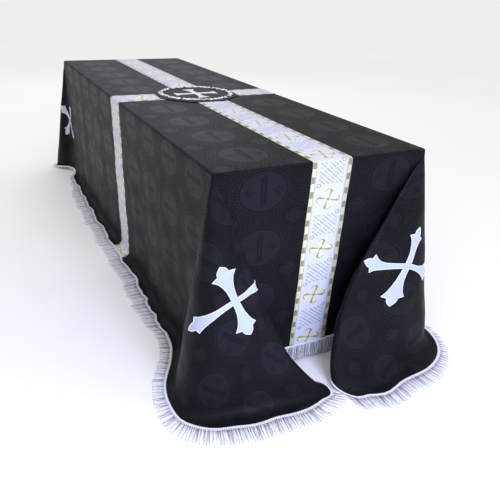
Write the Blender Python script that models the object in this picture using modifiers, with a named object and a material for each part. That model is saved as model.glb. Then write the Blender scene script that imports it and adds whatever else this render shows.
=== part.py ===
"""A funeral pall spread over a plain folding table, with a fringed hem. Metres, +Z up, the floor at z = 0.

The cloth is one flat piece with rounded corners. It lies flat on the table, hangs straight down the ends and
sides, and gathers at each table corner into a flare: a cone of straight folds that starts at the corner.
"""

import math

import bmesh
import bpy
from mathutils import Matrix, Vector

# The table under the cloth.
TABLE_LENGTH = 2.438
TABLE_WIDTH = 0.762
TABLE_HEIGHT = 0.737
TOP_THICKNESS = 0.044
TOP_EDGE_ROUND = 0.010
LEG_TUBE = 0.028
LEG_FROM_END = 0.300
LEG_FROM_SIDE = 0.070
RAIL_SIZE = (0.660, 0.040, 0.014)
BAR_HEIGHT = 0.460
BAR_TUBE = 0.016
BRACE_REACH = 0.340
STEEL = (0.25, 0.25, 0.27)

# The cloth.
CLOTH = 0.0016
EDGE_CLEARANCE = 0.0028
REST_CLEARANCE = 0.0004
EDGE_BEND = 0.009
DROP_SIDE = 0.788
DROP_END = 0.672
CORNER_RADIUS = 0.470
FLOOR_BEND = 0.034
FLOOR_LIFT = 0.0009
FOLD_FADE = 0.090

# What is sewn on.
GAP = 0.0003
BAND_WIDTH = 0.144
BAND_THICKNESS = 0.0008
BAND_ACROSS_AT = -0.115
BAND_LENGTH_AT = 0.012
MEDALLION_AT = (0.000, -0.105)
MEDALLION_RADIUS = 0.190
WREATH_RADIUS = 0.158
WREATH_TUBE = 0.009
WREATH_FLATNESS = 0.45
EMBLEM_ARM = 0.100
APPLIQUE = 0.0009
APPLIQUE_GAP = 0.0004

# The fringe: a flat heading just past the hem, and strands that run out from it.
HEADING = 0.012
HEADING_GAP = 0.0015
STRAND = 0.062
STRAND_WIDTH = 0.0034
STRAND_PITCH = 0.072

HALF_WIDTH = TABLE_WIDTH / 2 + EDGE_CLEARANCE
HALF_LENGTH = TABLE_LENGTH / 2 + EDGE_CLEARANCE
FLAT_X = HALF_WIDTH - EDGE_BEND
FLAT_Y = HALF_LENGTH - EDGE_BEND
TOP_Z = TABLE_HEIGHT + REST_CLEARANCE + CLOTH / 2
FLOOR_Z = CLOTH / 2 + FLOOR_LIFT
FOOT_DROP = TOP_Z - FLOOR_Z

# Where each flare would meet the floor, as points (across, along) from the foot of its table corner, positive
# towards the table's middle. A row runs from the side, round the outside, to the folded edge that lies in front
# of the end, then back behind it to the end.
FLARES = {
    "near_left": (
        (0.000, 0.300), (-0.016, 0.235), (-0.056, 0.150), (-0.106, 0.060), (-0.130, -0.020), (-0.118, -0.090),
        (-0.064, -0.132), (0.020, -0.152), (0.105, -0.166), (0.180, -0.176), (0.235, -0.180), (0.268, -0.172),
        (0.272, -0.150), (0.236, -0.120), (0.160, -0.092), (0.065, -0.070), (-0.010, -0.058), (-0.046, -0.038),
        (-0.034, -0.012), (0.010, 0.000),
    ),
    "near_right": (
        (0.000, 0.280), (-0.022, 0.215), (-0.066, 0.140), (-0.096, 0.050), (-0.100, -0.030), (-0.080, -0.095),
        (-0.030, -0.140), (0.050, -0.166), (0.150, -0.178), (0.258, -0.180), (0.352, -0.172), (0.396, -0.156),
        (0.394, -0.132), (0.332, -0.110), (0.230, -0.088), (0.118, -0.068), (0.010, -0.056), (-0.030, -0.038),
        (-0.024, -0.012), (0.012, 0.000),
    ),
    "far_left": (
        (0.000, 0.120), (-0.004, 0.040), (-0.012, -0.030), (-0.034, -0.075), (-0.070, -0.105), (-0.098, -0.140),
        (-0.100, -0.186), (-0.053, -0.220), (0.025, -0.229), (0.120, -0.225), (0.203, -0.210), (0.252, -0.188),
        (0.254, -0.158), (0.210, -0.124), (0.145, -0.094), (0.080, -0.070), (0.040, -0.052), (0.022, -0.034),
        (0.020, -0.014), (0.036, 0.000),
    ),
    "far_right": (
        (0.000, 0.260), (-0.018, 0.200), (-0.058, 0.130), (-0.096, 0.045), (-0.106, -0.035), (-0.086, -0.105),
        (-0.030, -0.150), (0.050, -0.176), (0.140, -0.190), (0.230, -0.192), (0.300, -0.184), (0.336, -0.164),
        (0.328, -0.140), (0.266, -0.114), (0.172, -0.088), (0.075, -0.066), (0.000, -0.055), (-0.036, -0.037),
        (-0.028, -0.012), (0.010, 0.000),
    ),
}
# How far the folded edge's cloth turns towards the middle as it spreads on the floor, in degrees.
FOLD_SPREAD = {"near_left": 42.0, "near_right": -4.0, "far_left": 20.0, "far_right": 15.0}
# The cloth behind that edge turns further, to this angle, over so many folds.
BEHIND_SPREAD = 175.0
BEHIND_FOLDS = 6
# Between these flat angles, in degrees, the fringe has no strands: they would lie under the folded edge's cloth.
BARE = {"near_left": (20.0, 39.0), "near_right": (20.0, 41.0), "far_left": (20.0, 29.0), "far_right": (20.0, 39.0)}
# The hem isn't cut evenly: (flat angle from the end in degrees, how much further the cloth reaches).
HEM_EXTRA = {
    "near_left": ((34, 0.0), (41, 0.056), (43, 0.048), (52, -0.004), (62, -0.026), (76, -0.020), (90, 0.0)),
    "near_right": ((36, 0.0), (43, 0.092), (47, 0.070), (58, 0.008), (72, -0.004), (90, 0.0)),
    "far_left": ((26, 0.0), (34, 0.034), (45, 0.012), (60, -0.020), (72, -0.052), (86, -0.034), (98, 0.0)),
    "far_right": ((33, 0.0), (41, 0.050), (45, 0.030), (56, -0.004), (66, -0.020), (80, -0.010), (90, 0.0)),
}
SIDES = {"near_left": (-1, -1), "near_right": (1, -1), "far_left": (-1, 1), "far_right": (1, 1)}
STEPS_PER_POINT = 2

# Soft ripples of the hung sides: (where along the side, width, depth outwards at the floor).
RIPPLES = {
    -1: ((-0.74, 0.09, 0.010), (-0.46, 0.10, -0.006), (0.12, 0.08, 0.005), (0.34, 0.10, 0.012), (0.70, 0.11, 0.007)),
    1: ((-0.62, 0.11, 0.009), (-0.42, 0.10, -0.005), (0.22, 0.10, 0.010), (0.64, 0.12, 0.008)),
}

# Corner crosses: (flare, distance from the table's corner, share of the flare's turn from its end, turn in degrees).
CROSSES = {
    "cross_near_left": ("near_left", 0.415, 0.520, 45.0),
    "cross_near_right": ("near_right", 0.410, 0.510, 45.0),
    "cross_far_left": ("far_left", 0.410, 0.870, 45.0),
    "cross_far_right": ("far_right", 0.410, 0.500, 45.0),
}
# One arm of a corner cross from its middle out: (distance, half width).
CROSS_ARM = ((0.011, 0.011), (0.056, 0.014), (0.094, 0.026), (0.116, 0.043))
CROSS_NOTCH = (0.120, 0.016)
CROSS_LOBE = (0.136, 0.015)
CROSS_TIP = 0.153


def smooth(t):
    t = min(1.0, max(0.0, t))
    return t * t * (3 - 2 * t)


def mixed(a, b, t):
    return a + (b - a) * t


def curve_through(points, steps):
    """Points of a smooth curve through the given ones, with so many steps from each to the next."""
    found = []
    for i in range(len(points) - 1):
        before = points[max(i - 1, 0)]
        after = points[min(i + 2, len(points) - 1)]
        for k in range(steps):
            t = k / steps
            found.append(tuple(
                0.5 * (2 * b + (c - a) * t + (2 * a - 5 * b + 4 * c - d) * t * t + (3 * b - a - 3 * c + d) * t ** 3)
                for a, b, c, d in zip(before, points[i], points[i + 1], after)
            ))
    return found + [points[-1]]


def table_value(rows, at):
    """The second column's value between rows, by the first column, and 0 outside them."""
    for (a, value_a), (b, value_b) in zip(rows, rows[1:]):
        if a <= at <= b:
            return mixed(value_a, value_b, smooth((at - a) / (b - a)))
    return 0.0


def rounded_reach(angle):
    """From the table's corner to the cloth's outline, whose corner is rounded, at a flat angle from the end."""
    s, c = math.sin(angle), math.cos(angle)
    to_end = DROP_END / c if c > 1e-6 else math.inf
    to_side = DROP_SIDE / s if s > 1e-6 else math.inf
    centre_x, centre_y = DROP_SIDE - CORNER_RADIUS, DROP_END - CORNER_RADIUS
    if s * to_end < centre_x:
        return to_end
    if c * to_side < centre_y:
        return to_side
    along = centre_x * s + centre_y * c
    return along + math.sqrt(along ** 2 - centre_x ** 2 - centre_y ** 2 + CORNER_RADIUS ** 2)


class Flare:
    """The cone of cloth at one table corner. Its folds are straight lines from the corner, one per flat angle."""

    def __init__(self, name):
        self.side_x, self.side_y = SIDES[name]
        self.extra = HEM_EXTRA[name]
        feet = curve_through(FLARES[name], STEPS_PER_POINT)[::-1]
        self.ways = [Vector((p, q, -FOOT_DROP)).normalized() for p, q in feet]
        lengths = [0.0]
        for a, b in zip(self.ways, self.ways[1:]):
            lengths.append(lengths[-1] + a.angle(b))
        self.first = -math.atan2(feet[0][0], FOOT_DROP)
        self.last = math.pi / 2 + math.atan2(feet[-1][1], FOOT_DROP)
        scale = (self.last - self.first) / lengths[-1]
        self.angles = [self.first + length * scale for length in lengths]
        reach = max(p for p, _ in feet)
        self.outwards = []
        for i, (p, q) in enumerate(feet):
            before, after = feet[max(i - 1, 0)], feet[min(i + 1, len(feet) - 1)]
            out = Vector((after[1] - before[1], before[0] - after[0], 0.0))
            self.outwards.append(-out.normalized())
        turn = max(i for i, (p, q) in enumerate(feet) if p > reach - 0.030)
        for i in range(turn + 3):
            spread = math.radians(mixed(FOLD_SPREAD[name], BEHIND_SPREAD, smooth((turn - i) / BEHIND_FOLDS)))
            held = Vector((math.sin(spread), -math.cos(spread), 0.0))
            self.outwards[i] = mixed(held, self.outwards[i], smooth((i - turn) / 3)).normalized()

    def at(self, angle):
        """The fold's direction and the direction in which it spreads on the floor, at a flat angle from the end."""
        angle = min(self.last, max(self.first, angle))
        i = 0
        while i < len(self.angles) - 2 and self.angles[i + 1] < angle:
            i += 1
        t = (angle - self.angles[i]) / (self.angles[i + 1] - self.angles[i])
        way = mixed(self.ways[i], self.ways[i + 1], t).normalized()
        out = mixed(self.outwards[i], self.outwards[i + 1], t).normalized()
        return way, out

    def hem(self, angle):
        """How far the cloth reaches from the table's corner at a flat angle, inside its rounded outline."""
        return rounded_reach(angle) + table_value(self.extra, math.degrees(angle))

    def point(self, angle, reach):
        """Where the flat point at this angle and distance from the corner hangs."""
        way, out = self.at(angle)
        share = min(1.0, max(0.0, angle / (math.pi / 2)))
        over = Vector((-math.sin(share * math.pi / 2), -math.cos(share * math.pi / 2), 0.0))
        plain = (Vector((0, 0, -1)) + 0.10 * over).normalized()
        way = mixed(plain, way, smooth(reach / FOLD_FADE)).normalized()
        place = hung(over, way, out, reach)
        return Vector((
            self.side_x * (FLAT_X - place.x), self.side_y * (FLAT_Y - place.y), TOP_Z + place.z,
        ))


def bend(first, corner, last, t):
    """A point of the soft bend from one point to another by way of a corner."""
    return mixed(mixed(first, corner, t), mixed(corner, last, t), t)


def hung(over, way, out, reach):
    """Cloth from a table edge: over it, down the way it hangs, and out along the floor if it is long enough."""
    edge = over * EDGE_BEND
    if reach < 2 * EDGE_BEND:
        return bend(Vector((0, 0, 0)), edge, edge + way * EDGE_BEND, reach / (2 * EDGE_BEND))
    foot = (FOOT_DROP / -way.z) if way.z < 0 else math.inf
    down = reach - EDGE_BEND
    if down < foot - FLOOR_BEND:
        return edge + way * down
    floor = edge + way * foot
    t = (down - foot + FLOOR_BEND) / (2 * FLOOR_BEND)
    if t < 1:
        return bend(floor - way * FLOOR_BEND, floor, floor + out * FLOOR_BEND, t)
    return floor + out * (down - foot)


FLARE = {name: Flare(name) for name in FLARES}


def ripple(side, y, drop):
    """How far a hung side stands out here."""
    out = sum(depth * math.exp(-(((y - at) / width) ** 2)) for at, width, depth in RIPPLES[side])
    return out * smooth(drop / FOOT_DROP)


def draped(x, y):
    """Where the point (x, y) of the flat cloth lies once it is draped."""
    past_x, past_y = abs(x) - FLAT_X, abs(y) - FLAT_Y
    if past_x <= 0 and past_y <= 0:
        return Vector((x, y, TOP_Z))
    side_x, side_y = (-1 if x < 0 else 1), (-1 if y < 0 else 1)
    flare = FLARE[("near" if side_y < 0 else "far") + ("_left" if side_x < 0 else "_right")]
    angle = math.atan2(past_x, past_y)
    if flare.first <= angle <= flare.last:
        return flare.point(angle, math.hypot(past_x, past_y))
    down = Vector((0, 0, -1))
    if past_y > 0 and past_x < past_y:
        place = hung(Vector((0, 1, 0)), down, Vector((0, 1, 0)), past_y)
        return Vector((x, side_y * (FLAT_Y + place.y), TOP_Z + place.z))
    place = hung(Vector((1, 0, 0)), down, Vector((1, 0, 0)), past_x)
    out = FLAT_X + place.x + ripple(side_x, y, past_x)
    return Vector((side_x * out, y, TOP_Z + place.z))


def lifted(x, y, height):
    """A point so high over the draped cloth's middle."""
    step = 0.002
    here = draped(x, y)
    along_x = draped(x + step, y) - draped(x - step, y)
    along_y = draped(x, y + step) - draped(x, y - step)
    return here + along_x.cross(along_y).normalized() * height


def new_object(name, mesh, colour, roughness):
    """Puts a mesh into the scene as one named object, in a collection of its own, with its own material."""
    obj = bpy.data.objects.new(name, mesh)
    material = bpy.data.materials.new(name)
    material.use_nodes = True
    shader = material.node_tree.nodes["Principled BSDF"]
    shader.inputs["Base Color"].default_value = (*colour, 1.0)
    shader.inputs["Roughness"].default_value = roughness
    mesh.materials.clear()
    mesh.materials.append(material)
    collection = bpy.data.collections.new(name)
    bpy.context.scene.collection.children.link(collection)
    collection.objects.link(obj)
    return obj


def thickened(obj, thickness, offset):
    modifier = obj.modifiers.new("Thickness", "SOLIDIFY")
    modifier.thickness = thickness
    modifier.offset = offset
    modifier.use_even_offset = False
    return obj


def mesh_of(name, build):
    """A mesh made by a function that fills a bmesh."""
    work = bmesh.new()
    build(work)
    bmesh.ops.recalc_face_normals(work, faces=work.faces)
    mesh = bpy.data.meshes.new(name)
    work.to_mesh(mesh)
    work.free()
    return mesh


# Rows of the hung cloth: shares of the length down to the floor bend, then of the rest to the hem.
DOWN_SHARES = (0.0, 0.10, 0.34, 0.68, 1.0)
HEM_SHARES = (0.33, 0.66, 1.0)
EDGE_ROWS = (0.0, 0.009)


class Station:
    """One line of the flat cloth from the edge of the table's top to the hem."""

    def __init__(self, start, way, length, foot, bare=False):
        self.start, self.way, self.length, self.foot, self.bare = start, way, length, foot, bare

    def flat(self, reach):
        return (self.start[0] + self.way[0] * reach, self.start[1] + self.way[1] * reach)

    def rows(self):
        bent = min(self.foot - FLOOR_BEND + EDGE_BEND, self.length * 0.97)
        begin = 2 * EDGE_BEND
        down = [begin + (bent - begin) * share for share in DOWN_SHARES]
        return list(EDGE_ROWS) + down + [bent + (self.length - bent) * share for share in HEM_SHARES]


def flare_stations(name):
    """From the flare's end to its side."""
    flare = FLARE[name]
    found = []
    for angle, way in zip(flare.angles, flare.ways):
        flat_way = (flare.side_x * math.sin(angle), flare.side_y * math.cos(angle))
        start = (flare.side_x * FLAT_X, flare.side_y * FLAT_Y)
        bare = BARE[name][0] <= math.degrees(angle) <= BARE[name][1]
        found.append(Station(start, flat_way, flare.hem(angle), FOOT_DROP / -way.z, bare))
    return found


def straight_station(start, end, drop):
    length = math.hypot(end[0] - start[0], end[1] - start[1])
    way = ((end[0] - start[0]) / length, (end[1] - start[1]) / length)
    return Station(start, way, length, FOOT_DROP * length / drop)


BAND_EDGES = (-0.5, 0.0, 0.5)
END_STATIONS = (0.26, 0.16)
SIDE_STATIONS = (1.06, 0.88, 0.72, 0.58, 0.45, 0.33)


def end_stations(side_y):
    """From the left to the right, between the flares."""
    xs = [-x for x in END_STATIONS] + [BAND_LENGTH_AT + share * BAND_WIDTH for share in BAND_EDGES]
    y = side_y * FLAT_Y
    return [
        straight_station((x, y), (x, y + side_y * DROP_END), DROP_END) for x in xs + list(END_STATIONS[::-1])
    ]


def side_stations(side_x):
    """From the near end to the far one, between the flares. Those next to a flare lean away from it."""
    found = []
    ys = [-y for y in SIDE_STATIONS] + [BAND_ACROSS_AT + share * BAND_WIDTH for share in BAND_EDGES]
    x = side_x * FLAT_X
    for y in ys + [0.06, 0.19] + list(SIDE_STATIONS[::-1]):
        flare = FLARE[("near" if y < 0 else "far") + ("_left" if side_x < 0 else "_right")]
        lean = DROP_SIDE * math.tan(flare.last - math.pi / 2) * max(0.0, 1 - (FLAT_Y - abs(y)) / 0.70)
        end_y = y - lean * (-1 if y < 0 else 1)
        found.append(straight_station((x, y), (x + side_x * DROP_SIDE, end_y), DROP_SIDE))
    return found


def all_stations():
    """Round the whole hem, from the near end's left, by way of the right, and back."""
    parts = {
        "near": end_stations(-1),
        "near_right": flare_stations("near_right"),
        "right": side_stations(1),
        "far_right": flare_stations("far_right")[::-1],
        "far": end_stations(1)[::-1],
        "far_left": flare_stations("far_left"),
        "left": side_stations(-1)[::-1],
        "near_left": flare_stations("near_left")[::-1],
    }
    return parts


STATIONS = all_stations()


def build_cloth(work):
    """The hung part as rows down each station, closed round the table, and the flat top between them."""
    columns = []
    rim = []
    for stations in STATIONS.values():
        for station in stations:
            rows = [draped(*station.flat(reach)) for reach in station.rows()]
            if rim and (rim[-1].co - rows[0]).length < 1e-6:
                top = rim[-1]
            else:
                top = work.verts.new(rows[0])
                rim.append(top)
            columns.append([top] + [work.verts.new(place) for place in rows[1:]])
    for left, right in zip(columns, columns[1:] + columns[:1]):
        for i in range(len(left) - 1):
            corners = [left[i], left[i + 1], right[i + 1], right[i]]
            work.faces.new([v for k, v in enumerate(corners) if v is not corners[k - 1]])
    work.faces.new(rim)


def patch(rows):
    """A function that builds a sheet from rows of flat points, lifted over the cloth."""

    def build(work, height):
        grid = [[work.verts.new(lifted(x, y, height)) for x, y in row] for row in rows]
        for a, b in zip(grid, grid[1:]):
            for k in range(len(a) - 1):
                work.faces.new((a[k], a[k + 1], b[k + 1], b[k]))

    return build


def sewn(name, rows, height, thickness, colour, roughness):
    mesh = mesh_of(name, lambda work: patch(rows)(work, height))
    flip_up(mesh, *rows[len(rows) // 2][0])
    return thickened(new_object(name, mesh, colour, roughness), thickness, 1.0)


def flip_up(mesh, x, y):
    """Turns a sheet over if it faces the cloth at this flat point, so that its thickness grows outwards."""
    here = draped(x, y)
    nearest = min(mesh.polygons, key=lambda face: (face.center - here).length)
    if nearest.normal.dot(lifted(x, y, 1.0) - here) < 0:
        mesh.flip_normals()


def band_rows(station):
    """The flat distances from the top's edge at which a band bends with the cloth."""
    return station.rows()


def build_bands():
    silk = (0.80, 0.80, 0.86)
    height = CLOTH / 2 + GAP
    end = [s for s in STATIONS["near"] if abs(s.start[0] - BAND_LENGTH_AT) < BAND_WIDTH * 0.51]
    xs = [s.start[0] for s in end]
    down = band_rows(end[0])
    ys = [-(FLAT_Y + d) for d in reversed(down)] + [-0.6, 0.0, 0.6] + [FLAT_Y + d for d in down]
    sewn("band_length", [[(x, y) for x in xs] for y in ys], height, BAND_THICKNESS, silk, 0.5)
    left = [s for s in STATIONS["left"] if abs(s.start[1] - BAND_ACROSS_AT) < BAND_WIDTH * 0.51][::-1]
    ys = [s.start[1] for s in left]
    down = band_rows(left[0])
    for name, side, inner in (("band_left", -1, xs[0] - 0.001), ("band_right", 1, xs[-1] + 0.001)):
        rows = [inner] + [side * (FLAT_X + d) for d in down]
        sewn(name, [[(x, y) for y in ys] for x in rows], height, BAND_THICKNESS, silk, 0.5)


def build_cross(name):
    """A cross with four flaring, three-pointed arms: made flat, creased where the cloth folds, then laid on it."""
    flare_name, reach, share, turn = CROSSES[name]
    flare = FLARE[flare_name]
    angle = mixed(flare.first, flare.last, share)
    centre = Vector((
        flare.side_x * (FLAT_X + reach * math.sin(angle)), flare.side_y * (FLAT_Y + reach * math.cos(angle)), 0.0,
    ))

    def build(work):
        for quarter in range(4):
            way = Matrix.Rotation(math.radians(turn + 90 * quarter), 3, "Z")

            def vertex(out, aside):
                return work.verts.new(centre + way @ Vector((out, aside, 0.0)))

            root = CROSS_ARM[0][0]
            corners = [vertex(0.0, 0.0), vertex(root, -root), vertex(root, 0.0), vertex(root, root)]
            work.faces.new(corners)
            row = corners[1:]
            for out, half in CROSS_ARM[1:]:
                further = [vertex(out, -half), vertex(out, 0.0), vertex(out, half)]
                for k in range(2):
                    work.faces.new((row[k], row[k + 1], further[k + 1], further[k]))
                row = further
            tip = vertex(CROSS_TIP, 0.0)
            for side, outer in ((-1, row[0]), (1, row[2])):
                notch, lobe = vertex(CROSS_NOTCH[0], side * CROSS_NOTCH[1]), vertex(CROSS_LOBE[0], side * CROSS_LOBE[1])
                work.faces.new((row[1], outer, notch))
                work.faces.new((row[1], notch, lobe, tip))
        bmesh.ops.remove_doubles(work, verts=work.verts, dist=0.0001)
        corner = Vector((flare.side_x * FLAT_X, flare.side_y * FLAT_Y, 0.0))
        for fold in flare.angles:
            bmesh.ops.bisect_plane(
                work, geom=work.verts[:] + work.edges[:] + work.faces[:], dist=0.0004, plane_co=corner,
                plane_no=(flare.side_x * math.cos(fold), -flare.side_y * math.sin(fold), 0.0),
            )
        for vertex in work.verts:
            vertex.co = lifted(vertex.co.x, vertex.co.y, CLOTH / 2 + APPLIQUE_GAP)

    mesh = mesh_of(name, build)
    flip_up(mesh, centre.x, centre.y)
    thickened(new_object(name, mesh, (0.82, 0.84, 0.90), 0.4), APPLIQUE, 1.0)


def build_medallion():
    """A disc over the crossing of the bands, a raised wreath on it and a plain cross inside the wreath."""
    x, y = MEDALLION_AT
    base = TOP_Z + CLOTH / 2 + GAP + BAND_THICKNESS + GAP
    disc = 0.0022

    bpy.ops.mesh.primitive_cylinder_add(vertices=64, radius=MEDALLION_RADIUS, depth=disc, location=(x, y, base + disc / 2))
    adopt("medallion_disc", (0.02, 0.02, 0.025), 0.7)
    bpy.ops.mesh.primitive_torus_add(
        major_segments=40, minor_segments=6, major_radius=WREATH_RADIUS, minor_radius=WREATH_TUBE,
        location=(x, y, base + disc + GAP + WREATH_TUBE * WREATH_FLATNESS),
    )
    bpy.context.active_object.scale.z = WREATH_FLATNESS
    bpy.context.view_layer.update()
    adopt("medallion_wreath", (0.75, 0.76, 0.82), 0.6)

    arm, half, wide = EMBLEM_ARM, EMBLEM_ARM * 0.10, EMBLEM_ARM * 0.30
    outline = []
    for quarter in range(4):
        way = math.radians(90 * quarter)
        for out, aside in ((half, -half), (arm * 0.72, -half * 1.15), (arm, -wide), (arm, wide), (arm * 0.72, half * 1.15)):
            outline.append((
                x + out * math.cos(way) - aside * math.sin(way), y + out * math.sin(way) + aside * math.cos(way),
                base + disc + GAP,
            ))

    def build(work):
        work.faces.new([work.verts.new(place) for place in outline])

    mesh = mesh_of("medallion_cross", build)
    if mesh.polygons[0].normal.z < 0:
        mesh.flip_normals()
    thickened(new_object("medallion_cross", mesh, (0.80, 0.81, 0.86), 0.5), 0.0016, 1.0)


def adopt(name, colour, roughness):
    """Gives the object that an operator has just made its name, collection and material."""
    made = bpy.context.active_object
    for collection in list(made.users_collection):
        collection.objects.unlink(made)
    mesh = made.data
    mesh.transform(made.matrix_world)
    bpy.data.objects.remove(made)
    return new_object(name, mesh, colour, roughness)


def rail(stations):
    """For each station the points just past the hem: where the heading begins and ends, and the strand's end."""
    found = []
    for station in stations:
        past = [station.length + d for d in (HEADING_GAP, HEADING, HEADING + STRAND / 2, HEADING + STRAND)]
        found.append([draped(*station.flat(d)) for d in past])
    return found


def clear_of(marks, at, margin):
    """A place near the given one that is no nearer than the margin to any mark."""
    for mark in marks:
        if abs(at - mark) < margin:
            return mark + margin
    return at


def build_fringe(name, stations):
    """A flat heading along part of the hem, with strands that run out from it."""
    lines = rail(stations)
    lengths = [0.0]
    for a, b in zip(lines, lines[1:]):
        lengths.append(lengths[-1] + (a[1] - b[1]).length)
    total = lengths[-1]
    count = max(2, round(total / STRAND_PITCH))
    half = STRAND_WIDTH / 2
    bare = [(lengths[i], lengths[i + 1]) for i in range(len(lengths) - 1) if stations[i].bare or stations[i + 1].bare]
    middles = [clear_of(lengths, (k + 0.5) * total / count, half + GAP) for k in range(count)]
    middles = [m for m in middles if not any(a <= m <= b for a, b in bare)]
    plain = [at for at in lengths[1:-1] if all(abs(at - m) > half for m in middles)]
    cuts = [(m - half, "open") for m in middles] + [(m + half, "close") for m in middles]
    cuts = sorted(cuts + [(at, "plain") for at in plain + [GAP, total - GAP]])

    def along(at):
        i = 0
        while i < len(lengths) - 2 and lengths[i + 1] < at:
            i += 1
        t = (at - lengths[i]) / (lengths[i + 1] - lengths[i])
        return [mixed(a, b, t) for a, b in zip(lines[i], lines[i + 1])]

    def build(work):
        before = None
        for at, kind in cuts:
            here = tuple(work.verts.new(place) for place in along(at)[:2])
            if before is not None:
                work.faces.new((before[0], before[1], here[1], here[0]))
            if kind == "close":
                _, root, knee, tip = along(at - half)
                aside = (here[1].co - before[1].co).normalized() * half
                ends = [knee, tip] if (mixed(root, tip, 0.5) - knee).length > 0.001 else [tip]
                left, right = before[1], here[1]
                for place in ends:
                    further = (work.verts.new(place - aside), work.verts.new(place + aside))
                    work.faces.new((left, further[0], further[1], right))
                    left, right = further
            before = here

    mesh = mesh_of(name, build)
    thickened(new_object(name, mesh, (0.72, 0.73, 0.80), 0.8), CLOTH, 0.0)


def build_fringes():
    order = list(STATIONS)
    for name in order:
        before = STATIONS[order[order.index(name) - 1]][-1]
        build_fringe("fringe_" + name, [before] + STATIONS[name])


def tube(name, start, end, diameter):
    """A straight round bar."""
    curve = bpy.data.curves.new(name, "CURVE")
    curve.dimensions = "3D"
    curve.bevel_depth = diameter / 2
    curve.bevel_resolution = 2
    curve.use_fill_caps = True
    line = curve.splines.new("POLY")
    line.points.add(1)
    for spot, place in zip(line.points, (start, end)):
        spot.co = (*place, 1.0)
    new_object(name, curve, STEEL, 0.5)


def box(name, size, centre, colour, roughness):
    bpy.ops.mesh.primitive_cube_add(size=1, location=centre)
    bpy.context.active_object.scale = size
    bpy.context.view_layer.update()
    return adopt(name, colour, roughness)


def build_legs(end, side_y):
    """The leg frame at one end: two round legs, a bar between them, a rail under the top and a brace to it."""
    x = TABLE_WIDTH / 2 - LEG_FROM_SIDE
    y = side_y * (TABLE_LENGTH / 2 - LEG_FROM_END)
    under = TABLE_HEIGHT - TOP_THICKNESS - GAP
    box("rail_" + end, RAIL_SIZE, (0, y, under - RAIL_SIZE[2] / 2), STEEL, 0.5)
    leg_top = under - RAIL_SIZE[2] - GAP
    for label, leg_x in (("left", -x), ("right", x)):
        tube("leg_%s_%s" % (end, label), (leg_x, y, 0.0), (leg_x, y, leg_top), LEG_TUBE)
    inner = x - LEG_TUBE / 2 - GAP
    tube("bar_" + end, (-inner, y, BAR_HEIGHT), (inner, y, BAR_HEIGHT), BAR_TUBE)
    slope = math.atan2(under - BAR_HEIGHT, BRACE_REACH)
    clear = BAR_TUBE / 2 * (1 + math.sin(slope)) + 2 * GAP
    brace_top = under - BAR_TUBE / 2 * math.cos(slope) - 2 * GAP
    tube("brace_" + end, (0.0, y - side_y * clear, BAR_HEIGHT), (0.0, y - side_y * BRACE_REACH, brace_top), BAR_TUBE)


def build_table():
    middle = (0, 0, TABLE_HEIGHT - TOP_THICKNESS / 2)
    top = box("table_top", (TABLE_WIDTH, TABLE_LENGTH, TOP_THICKNESS), middle, (0.55, 0.52, 0.47), 0.6)
    rounding = top.modifiers.new("Rounding", "BEVEL")
    rounding.width = TOP_EDGE_ROUND
    rounding.segments = 2
    build_legs("near", -1)
    build_legs("far", 1)


def main():
    for obj in list(bpy.data.objects):
        bpy.data.objects.remove(obj)
    thickened(new_object("pall_cloth", mesh_of("pall_cloth", build_cloth), (0.012, 0.011, 0.014), 0.7), CLOTH, 0.0)
    build_bands()
    build_medallion()
    for name in CROSSES:
        build_cross(name)
    build_fringes()
    build_table()


main()
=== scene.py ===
"""The looks of a funeral pall spread over a folding table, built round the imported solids. Metres, +Z up.

The pall follows the same drape as its solid, with finer folds, creases and an uneven hem. Its points are
known by their place on the flat cloth, which also carries the weave, so the pattern bends wherever the cloth
does.
"""

import math
from bisect import bisect_left

import bmesh
import bpy
from mathutils import Matrix, Vector


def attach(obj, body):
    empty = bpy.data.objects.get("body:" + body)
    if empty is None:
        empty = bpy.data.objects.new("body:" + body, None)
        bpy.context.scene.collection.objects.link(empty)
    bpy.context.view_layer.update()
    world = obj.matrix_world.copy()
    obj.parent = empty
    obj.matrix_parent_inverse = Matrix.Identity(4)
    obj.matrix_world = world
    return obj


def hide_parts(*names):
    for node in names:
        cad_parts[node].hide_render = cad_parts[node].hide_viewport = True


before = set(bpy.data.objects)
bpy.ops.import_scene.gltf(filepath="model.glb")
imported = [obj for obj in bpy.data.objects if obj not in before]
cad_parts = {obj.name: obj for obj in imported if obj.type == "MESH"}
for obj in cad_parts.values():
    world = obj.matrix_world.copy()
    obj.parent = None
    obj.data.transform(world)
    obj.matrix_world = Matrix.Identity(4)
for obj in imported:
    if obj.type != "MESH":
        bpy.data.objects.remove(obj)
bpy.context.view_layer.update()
bpy.ops.object.select_all(action="DESELECT")

# The camera stands where the photograph was taken from.
camera = bpy.data.objects.new("camera", bpy.data.cameras.new("camera"))
bpy.context.scene.collection.objects.link(camera)
camera.data.sensor_width = 36.0
camera.data.lens = 38.287
camera.location = (-0.9262, -2.5045, 1.1989)
camera.rotation_euler = [math.radians(turn) for turn in (63.697, -1.953, -26.441)]
bpy.context.scene.camera = camera
bpy.context.scene.view_settings.view_transform = "Standard"

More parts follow.
